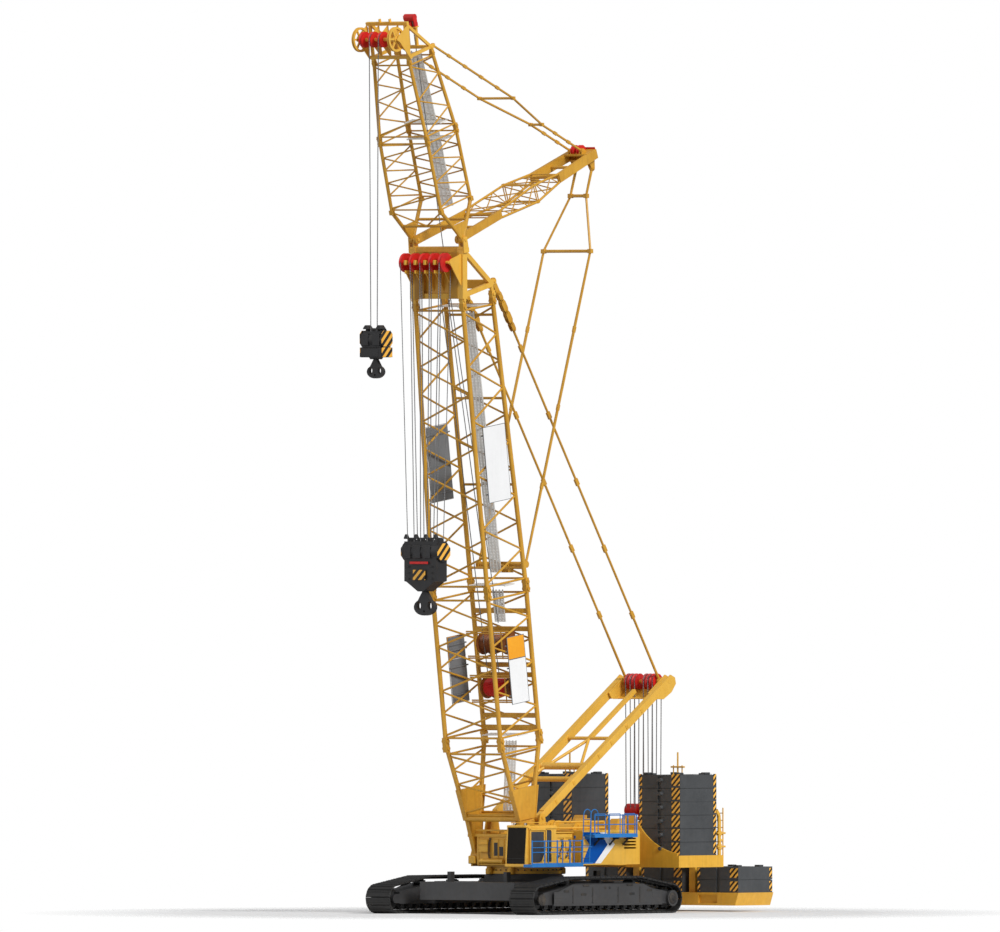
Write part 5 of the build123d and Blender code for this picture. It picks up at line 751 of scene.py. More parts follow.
def make_ropes():
    """Falls of rope from the heads to the hook blocks and the mast, and over their sheaves."""
    main, block = centre("main_sheaves"), high("main_hook_block")
    reach, groove, pitch = 0.38, 0.325, 0.52
    falls, wraps = [], []
    for i in range(5):
        y = (i - 2) * pitch
        for x in (-reach, reach):
            falls.append(wire((main.x + x, y, main.z), (main.x + x * 0.85, y * 0.66, block.z - 0.35)))
        wraps.append(over_sheave(Vector((main.x, y, main.z)), groove))
    strung("main_hoist_rope",
           falls)
    fit("main_rope_wraps", "main_sheaves", ROPE, wraps)
    tip, block, hook_x = centre("jib_sheaves"), high("aux_hook_block"), centre("aux_hook_block").x
    lines_y = (-0.215, 0.27)
    falls = [wire((tip.x + 0.315, y, tip.z), (hook_x + 0.16, y * 0.7, block.z - 0.25)) for y in lines_y]
    strung("aux_hoist_rope", falls)
    fit("aux_rope_wraps", "jib_sheaves", ROPE,
        [over_sheave(Vector((tip.x, y, tip.z)), 0.29) for y in lines_y])
    foot, head = centre("boom_hoist_sheaves"), centre("mast_sheaves")
    foot.z, head.z = high("boom_hoist_sheaves").z - 0.3, MAST_HEAD.z
    falls, wraps = [], []
    for side in (-1, 1):
        for y in (side * 0.235, side * 0.475, side * 0.715):
            falls += [wire((foot.x + x * 0.26, y, foot.z), (head.x + x * 0.3, y, head.z)) for x in (-1, 1)]
            wraps.append(over_sheave(Vector((head.x, y, head.z)), 0.3))
    strung("boom_hoist_rope", falls)
    fit("boom_hoist_wraps", "mast", ROPE, wraps)


def make_boom_ropes():
    """Hoist ropes from the boom's winches up to its head, and on to the jib's."""
    lines = [placed(wire((-0.5, y, start), (0.65, y * 0.6, 24.9)), BOOM)
             for y, start in ((-0.35, 7.7), (0.25, 7.7), (0.45, 9.8))]
    fit("winch_to_head_ropes", "boom", ROPE, lines)
    foot, bend_start, bend_end = (BOOM @ Vector((0.66, 0.27, z)) for z in (24.95, 26.0, 26.6))
    strung("jib_run_rope", [wire(foot, JIB @ Vector((-0.9, 0.1, 9.2)))])


# ---- boards and stripes ----------------------------------------------------------------
STACKS, STACK_BLOCKS = ("ballast_stack_left", "ballast_stack_right"), 6


def board(name, spans):
    """A framed sheet on each side of the boom, coloured outside and grey inside, on two rails;
    each span is (back, front, bottom, top, distance out, paint)."""
    rim, bar = 0.012, 0.024
    for side, word in ((1, "left"), (-1, "right")):

        def plate(x0, x1, y0, y1, z0, z1, soft=0.0):
            near, far = sorted((side * y0, side * y1))
            return placed(slab((x0, near, z0), (x1, far, z1), soft), BOOM)

        back = []
        for part, (f0, f1, a0, a1, y, colour) in enumerate(spans):
            fit("%s_%s_%d" % (name, word, part), "boom", colour,
                [plate(f0, f1, y, y + 0.03, a0, a1, 0.006)])
            back.append(plate(f0 + 0.02, f1 - 0.02, y - 0.028, y - 0.002, a0 + 0.02, a1 - 0.02, 0.004))
            for f in (f0 - rim, f1 - rim):
                back.append(plate(f, f + bar, y + 0.012, y + 0.034, a0 - rim, a1 + rim))
            for a in (a0 - rim, a1 - rim):
                back.append(plate(f0 - rim, f1 + rim, y + 0.012, y + 0.034, a, a + bar))
            for a in (a0 + 0.35, a1 - 0.35):
                back.append(plate(f0 - 0.05, f1 + 0.05, y - 0.078, y - 0.028, a - 0.03, a + 0.03, 0.006))
        fit("%s_back_%s" % (name, word), "boom", SIGN_GREY, back)


def make_boards():
    board("side_board", [(-0.71, 0.74, 15.0, 18.16, 1.525, WHITE)])
    board("foot_board", [(-0.66, 0.45, 8.38, 9.31, 1.585, ORANGE), (-0.66, 0.45, 6.51, 8.37, 1.585, WHITE)])


def striped(name, blocks):
    """Stripes on the front and the left side of blocks: (rear, front, right, left, bottom, top) of each."""
    fronts, sides = [], []
    for x0, x1, y0, y1, z0, z1 in blocks:
        fronts.append(slab((x1 - 0.01, y1 - 0.45, z0), (x1 + 0.006, y1 - 0.02, z1), 0.003))
        fronts.append(slab((x1 - 0.01, y0 + 0.02, z0), (x1 + 0.006, y0 + 0.15, z1), 0.003))
        sides.append(slab((x0 + 0.02, y1 - 0.01, z0), (x0 + 0.2, y1 + 0.006, z1), 0.003))
    fit(name + "_front_stripes", "superstructure", HAZARD, fronts)
    fit(name + "_side_stripes", "superstructure", HAZARD_SIDE, sides)


def make_stripes():
    """Hazard stripes on every counterweight block."""
    blocks = []
    for node in STACKS:
        base, top = low(node), high(node)
        pitch = (top.z - base.z) / STACK_BLOCKS
        for i in range(STACK_BLOCKS):
            bottom = base.z + i * pitch
            blocks.append((base.x, top.x, base.y, top.y, bottom + 0.05, bottom + pitch - 0.035))
    striped("ballast", blocks)
    rear, front, width = low("lower_ballast_blocks").x, high("lower_ballast_blocks").x, 2.2
    striped("lower_ballast", [(rear, front, y, y + width, z0, z1)
                              for y in (1.9, -1.1, -4.1) for z0, z1 in ((0.85, 1.26), (1.41, 1.81))])


def bent_band(rows, thickness):
    """A bent band on the left house's wall, by rows from the top: (height, front, rear)."""
    house = high("machinery_house_left")
    halves = []
    for (z1, f1, r1), (z0, f0, r0) in zip(rows, rows[1:]):
        f0, f1, r0, r1 = (SLEW + x for x in (f0, f1, r0, r1))
        foremost = min(max(f0, f1), house.x - 0.03)
        cuts = [((f0, house.y, z0), (z1 - z0, 0, f0 - f1)), ((r0, house.y, z0), (z0 - z1, 0, r1 - r0))]
        rearmost = min(r0, r1) - 0.01
        halves.append(slab((rearmost, house.y - 0.002, z0), (foremost, house.y + thickness, z1), 0, cuts))
    return halves


def make_house_panels():
    """The blue panel on the left house, with the white band behind it."""
    blue = [(3.37, -0.45, -1.66), (2.86, -1.0, -2.2), (2.08, -0.52, -1.35)]
    white = [(3.37, -1.67, -2.08), (2.86, -2.21, -2.68), (2.08, -1.36, -1.75)]
    fit("house_blue_panel", "superstructure", PANEL_BLUE, bent_band(blue, 0.008))
    fit("house_white_band", "superstructure", WHITE, bent_band(white, 0.007))


# ---- heavier tubes over the lattice sections and the pendants --------------------------
def thicker(node, by):
    """Stands for a CAD node with every bar a little thicker."""
    piece = copied(frame["nodes"][node])
    piece.parent = None
    for key in list(piece.keys()):
        del piece[key]
    pick(piece)
    bpy.ops.object.mode_set(mode="EDIT")
    bpy.ops.mesh.select_all(action="SELECT")
    bpy.ops.mesh.remove_doubles(threshold=0.0004)
    bpy.ops.transform.shrink_fatten(value=by)
    settle()
    bpy.ops.mesh.customdata_custom_splitnormals_clear()
    body = next(b for b, nodes in frame["record"]["behaviour"]["bodies"].items() if node in nodes)
    fit(node + "_tubes", body, SHADED_LATTICE_YELLOW, [piece])
    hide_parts(node)


def make_lattices():
    for node, by in (("boom_foot", 0.012), ("boom_base", 0.013), ("boom_taper", 0.013),
                     ("jib_base", 0.014), ("jib_top", 0.014), ("strut", 0.009),
                     ("boom_pendants", 0.018), ("jib_pendants", 0.02), ("backstays", 0.023)):
        thicker(node, by)


# ---- winch drums and grating walks in the boom and the jib -----------------------------
def make_winch_ropes():
    """Rope wound on the two winches in the boom, one drum red and one brown, with guard bars."""
    turns, pitch, drum = 28, 0.042, 0.35
    winches = (("lower_winch_wraps", 7.05, RED), ("upper_winch_wraps", 8.9, DRUM))
    for name, along, paint in winches:
        profile = [(0, 0.34)]
        for k in range(turns):
            at = k * pitch
            profile += [(0.006 + at, drum), (0.021 + at, drum + 0.022), (0.036 + at, drum)]
        wound = turned((0, 0, 0), Y, profile + [(1.19, 0.34)], 28)
        fit(name, "boom", paint,
            [placed(wound, BOOM @ Matrix.Translation((-0.76, -0.595, along)))])
    guards = []
    for name, along, paint in winches:
        guards += [rod((-0.3, -1.15, a), (-0.3, 1.15, a), 0.032)
                   for a in (along - 0.56, along - 0.48, along + 0.48, along + 0.56)]
        guards += [rod((-0.3, y, along - 0.6), (-0.3, y, along + 0.6), 0.026) for y in (-0.7, 0.7)]
    fit("winch_guards", "boom", SHADED_LATTICE_YELLOW, [placed(bar, BOOM) for bar in guards])


def grating_strip(frame_of, half, start, end, pitch=0.062, depth=0.03):
    """A walk of thin cross bars on four edge bars; start and end are (forward, along) in a frame."""
    (f0, a0), (f1, a1) = start, end
    length = hypot(f1 - f0, a1 - a0)
    bars = row(slab((-depth / 2, -half, 0), (depth / 2, half, 0.044)), int(length / pitch), (0, 0, pitch))
    edges = [slab((-depth, y - 0.02, 0), (depth, y + 0.02, length), 0.005)
             for y in (-half, -half / 3, half / 3, half)]
    return placed(joined([bars] + edges), frame_of @ tilted((f0, 0, a0), atan2(f1 - f0, a1 - a0)))


def grating_floor(frame_of, along, f0, f1, half, pitch=0.075):
    """A small cross platform inside a section."""
    count = max(2, int((f1 - f0) / pitch))
    bars = row(slab((f0, -half, along), (f0 + 0.05, half, along + 0.03)), count, ((f1 - f0) / count, 0, 0))
    edges = [slab((f0, y - 0.025, along - 0.02), (f1, y + 0.025, along + 0.035), 0.005)
             for y in (-half, 0, half)]
    return placed(joined([bars] + edges), frame_of)


def make_walks():
    """Gratings along the boom and the jib, and the small floors that cross them."""
    walks = [grating_strip(BOOM, 0.26, (-0.62, 1.75), (-1.22, 4.75)),
             grating_strip(BOOM, 0.26, (-1.2, 9.75), (-1.2, 11.1))]
    walks += [grating_floor(BOOM, a, -1.15, -0.5, 0.95) for a in (5.05, 11.35)]
    walks.append(grating_floor(BOOM, 23.1, -0.95, -0.2, 1.05))
    fit("boom_lower_walk", "boom", GRATING, walks)
    walks = [grating_strip(JIB, 0.36, (-0.93, 1.2), (-0.93, 4.45)),
             grating_strip(JIB, 0.36, (-0.9, 4.7), (-0.74, 7.95))]
    walks += [grating_floor(JIB, a, -0.98, -0.42, half) for a, half in ((4.2, 0.98), (4.9, 0.95))]
    fit("jib_walk", "jib", GRATING, walks)
    bottom, top = low("boom_catwalk"), high("boom_catwalk")
    rise, run = top.z - bottom.z, top.x - bottom.x
    walk = grating_strip(tilted((bottom.x + 0.02, 0, bottom.z), atan2(run, rise)), 0.26,
                         (0, 0), (0, hypot(run, rise) - 0.02))
    fit("boom_upper_walk", "boom", GRATING, [walk])
    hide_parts("boom_catwalk")


# ---- hook blocks -----------------------------------------------------------------------


def clipped(lowest, highest, corner):
    """A plate in the X-Z plane with its four corners cut off."""
    lo, hi = Vector(lowest), Vector(highest)
    cuts = [((x - sx * corner, 0, z), (sx, 0, sz))
            for sx, x in ((-1, lo.x), (1, hi.x)) for sz, z in ((-1, lo.z), (1, hi.z))]
    return slab(lo, hi, 0.008, cuts)


def pointed(lowest, highest):
    """A rope guard: a block whose top runs up to a blunt ridge along X."""
    lo, hi = Vector(lowest), Vector(highest)
    rise, half = (hi.z - lo.z) * 0.7, (hi.y - lo.y) / 2
    cuts = [((0, lo.y + half + s * half * 0.25, hi.z), (0, s * rise, half * 0.75)) for s in (-1, 1)]
    return slab(lo, hi, 0.008, cuts)


def make_hook_blocks():
    """Striped side plates, front frames, rope guards and bolts on the two hook blocks."""
    lo, hi = low("main_hook_block"), high("main_hook_block")
    x, base = hi.x, lo.z
    plates = [clipped((lo.x - 0.01, y, base + 1.3), (x + 0.01, y + 0.02, base + 2.0), 0.2)
              for y in (hi.y - 0.004, lo.y - 0.016)]
    fit("main_block_side_stripes", "main_hook", HAZARD_WIDE, plates)
    fit("main_block_front_stripes", "main_hook", HAZARD_PANEL,
        [slab((x - 0.02, -0.33, base + 0.48), (x + 0.012, 0.31, base + 0.9), 0.004)])
    fit("main_block_red_bar", "main_hook", RED,
        [slab((x - 0.02, -0.5, base + 1.14), (x + 0.03, 0.46, base + 1.24), 0.01)])
    black = []
    for y in (-0.86, -0.34, 0.18):
        black.append(slab((x - 0.01, y, base + 1.38), (x + 0.035, y + 0.4, base + 1.92), 0.02))
        black.append(slab((x + 0.02, y + 0.06, base + 1.44), (x + 0.05, y + 0.34, base + 1.86), 0.015))
    black += [pointed((x - 0.2, y - 0.1, hi.z - 0.06), (x - 0.06, y + 0.1, hi.z + 0.14))
              for y in (-0.78, -0.26, 0.26, 0.78)]
    black += [turned((x - 0.02, y, base + z), X, [(0, 0.035), (0.035, 0.035), (0.045, 0.026)], 6)
              for y in (-0.612, 0.612) for z in (0.53, 0.78, 1.03)]
    fit("main_block_frames", "main_hook", BLACK, black)
    lo, hi = low("aux_hook_block"), high("aux_hook_block")
    x, base = hi.x, lo.z
    plates = []
    for y in (hi.y - 0.004, lo.y - 0.012):
        plates.append(clipped((lo.x - 0.005, y, base + 0.53), (x + 0.005, y + 0.016, base + 1.19), 0.14))
        plates.append(slab((lo.x + 0.01, y, base + 0.09), (x - 0.01, y + 0.016, base + 0.49), 0.006))
    fit("aux_block_side_stripes", "aux_hook", HAZARD_WIDE, plates)
    black = [slab((x - 0.01, y, base + 0.57), (x + 0.03, y + 0.36, base + 1.07), 0.02) for y in (-0.5, 0.1)]
    black.append(slab((lo.x + 0.02, lo.y + 0.002, base + 0.08), (x - 0.02, hi.y - 0.002, base + 0.5), 0.03))
    black.append(slab((x - 0.03, -0.4, base + 0.12), (x, 0.4, base + 0.45), 0.015))
    black += [pointed((x - 0.4, y - 0.14, hi.z - 0.05), (x - 0.08, y + 0.14, hi.z + 0.12))
              for y in (-0.34, 0.34)]
    fit("aux_block_frames", "aux_hook", BLACK, black)


# ---- cab -------------------------------------------------------------------------------
def make_cab():
    """Windscreen, panes, frames, roof guard and lamps on the cab, and the sliding door's trim."""
    lo, hi = low("cab_shell"), high("cab_shell")
    inner, outer, wall = lo.y, hi.y - 0.048, hi.y - 0.046
    screen_x, sill, knee, lintel = hi.x + 0.006, 2.1, 2.32, 3.6
    run, rise = hi.x - 0.1 - screen_x, lintel - knee
    length, sloping = hypot(run, rise), tilted((screen_x, 0, knee), atan2(run, rise))
    fit("cab_windscreen", "superstructure", SCREEN, [
        slab((screen_x - 0.02, inner + 0.04, sill), (screen_x + 0.012, outer - 0.04, knee + 0.01), 0.004),
        placed(slab((-0.02, inner + 0.04, 0), (0.012, outer - 0.04, length), 0.004), sloping)])
    bars = []
    for y in (inner + 0.02, outer - 0.02):
        bars.append(slab((screen_x - 0.02, y - 0.025, 2.02), (screen_x + 0.03, y + 0.025, knee), 0.01))
        bars.append(placed(slab((-0.02, y - 0.025, -0.01), (0.03, y + 0.025, length), 0.01), sloping))
    bars.append(slab((screen_x - 0.1, inner - 0.01, 1.97), (screen_x + 0.09, outer + 0.01, 2.09), 0.02))
    bars.append(slab((hi.x - 0.35, inner, lintel), (hi.x - 0.02, outer, lintel + 0.1), 0.03))
    bars.append(slab((lo.x - 0.02, outer - 0.03, 3.585), (hi.x - 0.1, outer + 0.035, 3.66), 0.015))
    fit("cab_frame", "superstructure", YELLOW, bars)
    fit("cab_gasket", "superstructure", RUBBER_AND_HOLE_SHADE, [
        slab((screen_x - 0.005, inner + 0.05, knee - 0.012),
             (screen_x + 0.018, outer - 0.05, knee + 0.012), 0.004)])
    fit("cab_rear_panes", "superstructure", GLASS, [
        slab((lo.x + 0.3, wall - 0.02, z0), (lo.x + 0.66, wall + 0.006, z1), 0.02)
        for z0, z1 in ((2.66, 3.46), (2.16, 2.5))])
    rail_z = hi.z + 0.12
    guard = [bent_rod([(lo.x + 0.5, outer - 0.1, rail_z), (hi.x - 0.2, outer - 0.1, rail_z),
                       (hi.x - 0.2, inner + 0.1, rail_z)], 0.018)]
    guard += [rod((x, y, hi.z - 0.01), (x, y, hi.z + 0.13), 0.012, 6) for x, y in (
        (lo.x + 0.6, outer - 0.1), (hi.x - 0.25, outer - 0.12), (hi.x - 0.2, inner + 0.15))]
    fit("cab_roof_guard", "superstructure", DEEP_YELLOW, guard)
    make_door_trim()
    fit("cab_roof_frame", "superstructure", DEEP_YELLOW, [
        slab((lo.x + 0.35, 1.85, hi.z - 0.005), (lo.x + 1.15, 2.45, hi.z + 0.03), 0.012),
        slab((hi.x - 0.42, 1.75, hi.z - 0.01), (hi.x - 0.3, 2.55, hi.z + 0.035), 0.012)])
    lamps, lamp_places = [], (1.85, 2.45)
    for y in lamp_places:
        lamps.append(turned((hi.x - 0.3, y, hi.z + 0.06), X,
                            [(-0.09, 0.03), (-0.05, 0.062), (0.03, 0.07), (0.05, 0.066)], 16))
        lamps.append(rod((hi.x - 0.34, y, hi.z - 0.01), (hi.x - 0.34, y, hi.z + 0.05), 0.014))
    fit("cab_lamps", "superstructure", BLACK, lamps)
    fit("cab_lamp_lenses", "superstructure", LAMP, [
        turned((hi.x - 0.25, y, hi.z + 0.06), X, [(0, 0.058), (0.012, 0.05), (0.016, 0.02)], 16)
        for y in lamp_places])


def make_door_trim():
    """The window surround, pillar, lower pane and handle of the sliding door."""
    lo, hi = low("cab_door"), high("cab_door")
    y = hi.y
    bars = [slab((lo.x + 0.02, y - 0.01, z), (hi.x - 0.02, y + 0.014, z + 0.06), 0.006)
            for z in (lo.z + 0.01, hi.z - 0.07)]
    bars += [slab((x, y - 0.01, lo.z + 0.02), (x + 0.06, y + 0.014, hi.z - 0.02), 0.006)
             for x in (lo.x + 0.02, hi.x - 0.08)]
    pillar = slab((-0.035, y - 0.03, 0), (0.035, y + 0.012, 0.62), 0.008)
    bars.append(placed(pillar, tilted((lo.x + 0.33, 0, 2.13), -0.52)))
    fit("cab_door_frame", "cab_door", YELLOW, bars)
    fit("cab_door_low_pane", "cab_door", GLASS, [
        slab((lo.x + 0.1, y - 0.012, 2.16), (hi.x - 0.1, y + 0.004, 2.8), 0.015,
             [((lo.x + 0.42, y, 2.16), (-0.62, 0, -0.36))])])
    grip = hi.x - 0.1
    fit("cab_door_handle", "cab_door", BLACK, [bent_rod(
        [(grip, y, 2.75), (grip, y + 0.06, 2.77), (grip, y + 0.06, 2.97), (grip, y, 2.99)], 0.011)])


# ---- deck, boom foot, mast, cabinet, rails, heads and ballast --------------------------
def make_deck_front():
    """Boxes, ribs, a cylinder and brackets on the deck's front wall, and the ring skirt."""
    front = high("turntable_frame").x
    boxes = (      # rear and front out from the wall, right, left, bottom, top, bevel
        (-0.04, 0.05, -1.62, 1.16, 3.18, 3.32, 0.02),
        (-0.04, 0.0, -1.62, 1.16, 3.42, 3.5, 0.015),
        (-0.04, 0.03, -1.12, -1.02, 2.02, 3.2, 0.012),
        (-0.04, 0.04, -0.28, 0.6, 2.3, 3.1, 0.02),
        (-0.03, 0.14, -0.95, -0.48, 2.55, 3.08, 0.02),
        (-0.03, 0.18, -0.98, -0.45, 2.86, 2.92, 0.01),
        (-0.03, 0.1, -1.55, -1.2, 2.06, 2.4, 0.03),
        (-0.03, 0.16, -0.9, 0.5, 2.02, 2.07, 0.01))
    walls = [slab((front + x0, y0, z0), (front + x1, y1, z1), soft) for x0, x1, y0, y1, z0, z1, soft in boxes]
    walls += [slab((front - 0.03, y, 2.32), (front + 0.07, y + 0.035, 3.08), 0.008)
              for y in (-0.3, 0.02, 0.32, 0.58)]
    walls += [rod((front - 0.1, y, 3.3), (front - 0.1, y, 3.45), 0.04, 10) for y in (-1.5, -0.75, 0.0, 0.75)]
    fit("deck_front_boxes", "superstructure", DEEP_YELLOW, walls)
    fit("front_air_tank", "superstructure", YELLOW, [turned((front + 0.11, -0.88, 2.17), Y, [
        (0, 0.07), (0.02, 0.1), (0.12, 0.1), (0.14, 0.085), (1.1, 0.085), (1.12, 0.1), (1.24, 0.1),
        (1.26, 0.05)], 18)])
    dark = [slab((front + 0.025, y0, 2.4), (front + 0.046, y1, top), 0.006)
            for y0, y1, top in ((-0.2, 0.0, 2.95), (0.08, 0.3, 2.78))]
    dark += [bent_rod([(front + 0.05, y, 3.15), (front + 0.12, y, 2.9), (front + 0.1, y - 0.05, 2.5),
                       (front + 0.03, y - 0.05, 2.3)], 0.018) for y in (-0.42, -0.36, 0.66)]
    fit("front_hoses", "superstructure", BLACK, dark)
    fit("slew_ring_skirt", "superstructure", DEEP_YELLOW, [turned((SLEW, 0, 1.64), Z, [
        (0, 1.56), (0.02, 1.6), (0.14, 1.6), (0.15, 1.5), (0.3, 1.5), (0.31, 1.62), (0.34, 1.62)], 64)])
    bolts = [turned((SLEW + 1.56 * cos(k * pi / 18), 1.56 * sin(k * pi / 18), 1.79), Z,
                    [(0, 0.028), (0.04, 0.028), (0.05, 0.02)], 6) for k in range(36)]
    drives = [turned((SLEW + 1.68 * cos(a), 1.68 * sin(a), 1.62), Z,
                     [(0, 0.1), (0.03, 0.16), (0.24, 0.16), (0.26, 0.12), (0.34, 0.12)], 16)
              for a in (0.35, -0.35, 2.6, -2.6)]
    fit("slew_ring_bolts", "superstructure", BLACK, bolts)
    fit("slew_drives", "superstructure", DEEP_YELLOW, drives)


def make_foot_plates():
    """Gusset plates low on the boom foot, on both sides, with a rim along each edge."""
    foot_length, foot_depth, foot_spread = 4.914, 1.28, 0.117
    a0, a1 = 1.62, 2.95
    d0, d1 = (foot_depth * a / foot_length + 0.09 for a in (a0, a1))
    shift = foot_spread * (a0 + a1) / 2 / foot_length
    lean, length = atan2(d1 - d0, a1 - a0), hypot(a1 - a0, d1 - d0)
    plates = []
    for side, out in ((1, 0.1), (-1, 0.06)):
        y = side * (1.36 + shift)
        plate = slab((-d1, y - 0.06, a0), (d1, y + out, a1), 0.01,
                     [((s * d0, 0, a0), (s * (a1 - a0), 0, d0 - d1)) for s in (1, -1)])
        plates.append(placed(plate, BOOM))
        plates += [placed(slab((-0.03, y - 0.1, 0), (0.03, y + 0.13, length), 0.01),
                          BOOM @ tilted((f * d0, 0, a0), f * lean)) for f in (-1, 1)]
    fit("boom_foot_gussets", "boom", SHADED_LATTICE_YELLOW, plates)


def make_mast_details():
    """The mast's cross tube and the lugs along its arms."""
    foot = pin_of("mast_luff")
    place = foot.lerp(MAST_HEAD, 0.375)
    fit("mast_cross_tube", "mast", YELLOW, [turned(place - Y * 1.3, Y, [
        (0, 0.14), (0.03, 0.17), (0.2, 0.17), (0.22, 0.15), (2.38, 0.15), (2.4, 0.17), (2.57, 0.17),
        (2.6, 0.14)], 20)])
    frame_of = upright(foot, (MAST_HEAD - foot).normalized())
    lugs = [placed(slab((-0.1, y - 0.03, along - 0.07), (0.1, y + 0.012, along + 0.07), 0.012), frame_of)
            for y in (1.39, -1.39) for along in (1.2, 2.6, 4.6, 5.6, 6.8, 8.0)]
    fit("mast_lugs", "mast", DEEP_YELLOW, lugs)


def make_cabinet_details():
    """Valves, pipes and filters in the cabinet's bays, and a roof lip."""
    lo, hi = low("hydraulic_cabinet"), high("hydraulic_cabinet")
    y, bay = hi.y, (hi.x - lo.x) / 3
    filter_shape = [(0, 0.07), (0.06, 0.07), (0.08, 0.05), (0.12, 0.03)]
    hoses = (      # radius, route as (along, out, height)
        (0.017, ((0.12, -0.02, 3.1), (0.14, 0.06, 2.9), (0.3, 0.06, 2.66), (0.42, -0.02, 2.3))),
        (0.014, ((0.2, -0.02, 3.1), (0.22, 0.05, 2.86), (0.16, 0.06, 2.6), (0.2, -0.02, 2.3))))
    yellow, dark, bright = [], [], []
    for i in range(3):
        x = lo.x + i * bay
        yellow.append(slab((x + 0.08, y - 0.06, 2.3), (x + 0.24, y + 0.03, 2.62), 0.012))
        yellow.append(slab((x + 0.28, y - 0.06, 2.72), (x + 0.46, y + 0.045, 3.02), 0.012))
        yellow.append(slab((x + 0.05, y - 0.05, 2.66), (x + bay - 0.05, y + 0.012, 2.7), 0.006))
        bright.append(turned((x + 0.36, y - 0.05, 2.42), Y, filter_shape, 14))
        for radius, route in hoses:
            dark.append(bent_rod([(x + along, y + out, z) for along, out, z in route], radius))
        dark.append(turned((x + 0.13, y - 0.04, 2.82), Y, [(0, 0.045), (0.08, 0.045), (0.1, 0.03)], 12))
    yellow.append(slab((lo.x - 0.03, lo.y, hi.z - 0.01), (hi.x + 0.03, hi.y + 0.05, hi.z + 0.035), 0.012))
    fit("cabinet_valves", "superstructure", YELLOW, yellow)
    fit("cabinet_hoses", "superstructure", RUBBER_AND_HOLE_SHADE, dark)
    fit("cabinet_filters", "superstructure", CHROME, bright)


def make_rails():
    """Extra rails, posts, toe boards and the ladder of the two left walkways, and the platform's braces."""
    outer = high("walkways").y - 0.06
    deck, x0, x1 = 2.08, SLEW - 0.55, high("walkways").x - 0.03
    rails = [slab((x0, outer + 0.02, deck - 0.01), (x1, outer + 0.045, deck + 0.05), 0.004),
             rod((x0 + 0.02, outer, deck + 0.7), (x1 - 0.02, outer, deck + 0.7), 0.017)]
    for x in (SLEW + along for along in (2.36, 1.75, 1.42, 0.91, 0.66, 0.16)):
        rails.append(rod((x, outer, deck - 0.02), (x, outer, deck + 1.0), 0.02))
        rails.append(slab((x - 0.05, outer - 0.04, deck - 0.01),
                          (x + 0.05, outer + 0.04, deck + 0.02), 0.006))
    top, u0, u1 = high("walkways").z, SLEW - 3.48, SLEW - 0.56
    rails.append(slab((u0, outer + 0.02, top - 0.01), (u1, outer + 0.045, top + 0.04), 0.004))
    for a in (u0 + 0.1 + k * 0.98 for k in range(3)):
        rails.append(bent_rod([(a, outer, top), (a, outer, top + 0.86), (a + 0.7, outer, top + 0.86),
                               (a + 0.7, outer, top)], 0.018))
    rails.append(slab((u0, outer - 1.0, top - 0.16), (u1, outer - 0.9, top - 0.04), 0.01))
    stile_x, stiles = SLEW - 0.42, (2.78, 3.16)
    for y in stiles:
        hoop = [(SLEW - 0.76 + 0.24 * cos(k * pi / 8), y, 4.12 + 0.22 * sin(k * pi / 8)) for k in range(9)]
        rails.append(bent_rod([(stile_x, y, 2.1)] + hoop + [(SLEW - 1.0, y, top)], 0.02))
    for z in (2.3 + k * 0.27 for k in range(7)):
        x = stile_x - 0.1 * (z - 2.1) / 2.05
        rails.append(rod((x, stiles[0], z), (x, stiles[1], z), 0.015))
    fit("walkway_rails", "superstructure", BLUE, rails)
    places = [SLEW + along for along in (-1.3, -2.3, -3.2)]
    braces = [bent_rod([(x, 2.72, 2.84), (x - 0.1, outer - 0.25, top - 0.14)], 0.04) for x in places]
    braces += [slab((x - 0.09, outer - 0.3, top - 0.2), (x + 0.03, outer - 0.02, top - 0.11), 0.01)
               for x in places]
    fit("platform_braces", "superstructure", BLACK, braces)


def make_head_details():
    """Front plates of the boom head in a darker yellow of painted shade, sheave keepers, and red sheaves on the
    strut's head.
    """
    a0, a1, f0, f1 = 23.62, 25.55, 1.1, 0.87
    lean, length = atan2(f1 - f0, a1 - a0), hypot(f1 - f0, a1 - a0)
    fronts = [placed(slab((0.02, y, 0), (0.05, y + 0.5, length), 0.012), BOOM @ tilted((f0, 0, a0), lean))
              for y in (0.66, -1.16)]
    # The front plates take the darker yellow: painted shade.
    fit("boom_head_front_plates", "boom", PAINTED_SHADE_YELLOW, fronts)
    axle, plates = centre("main_sheaves"), []
    x, z = axle.x, axle.z
    for y in ((i - 1.5) * 0.52 for i in range(4)):
        plates.append(slab((x - 0.05, y - 0.03, z - 0.46), (x + 0.4, y + 0.03, z - 0.32), 0.015))
        plates.append(slab((x + 0.28, y - 0.06, z - 0.1), (x + 0.42, y + 0.06, z + 0.1), 0.02))
    fit("boom_head_plates", "boom", DEEP_YELLOW, plates)
    groove = [(0, 0.24), (0.03, 0.24), (0.05, 0.19), (0.09, 0.19), (0.11, 0.24), (0.14, 0.24)]
    reds = [turned((0.26, y - 0.07, 10.02), Y, groove, 28) for y in (-0.16, 0.16)]
    reds.append(slab((-0.15, -0.62, 10.385), (0.28, 0.62, 10.41), 0.01))
    fit("strut_head_sheaves", "jib", RED, [placed(red, STRUT) for red in reds])


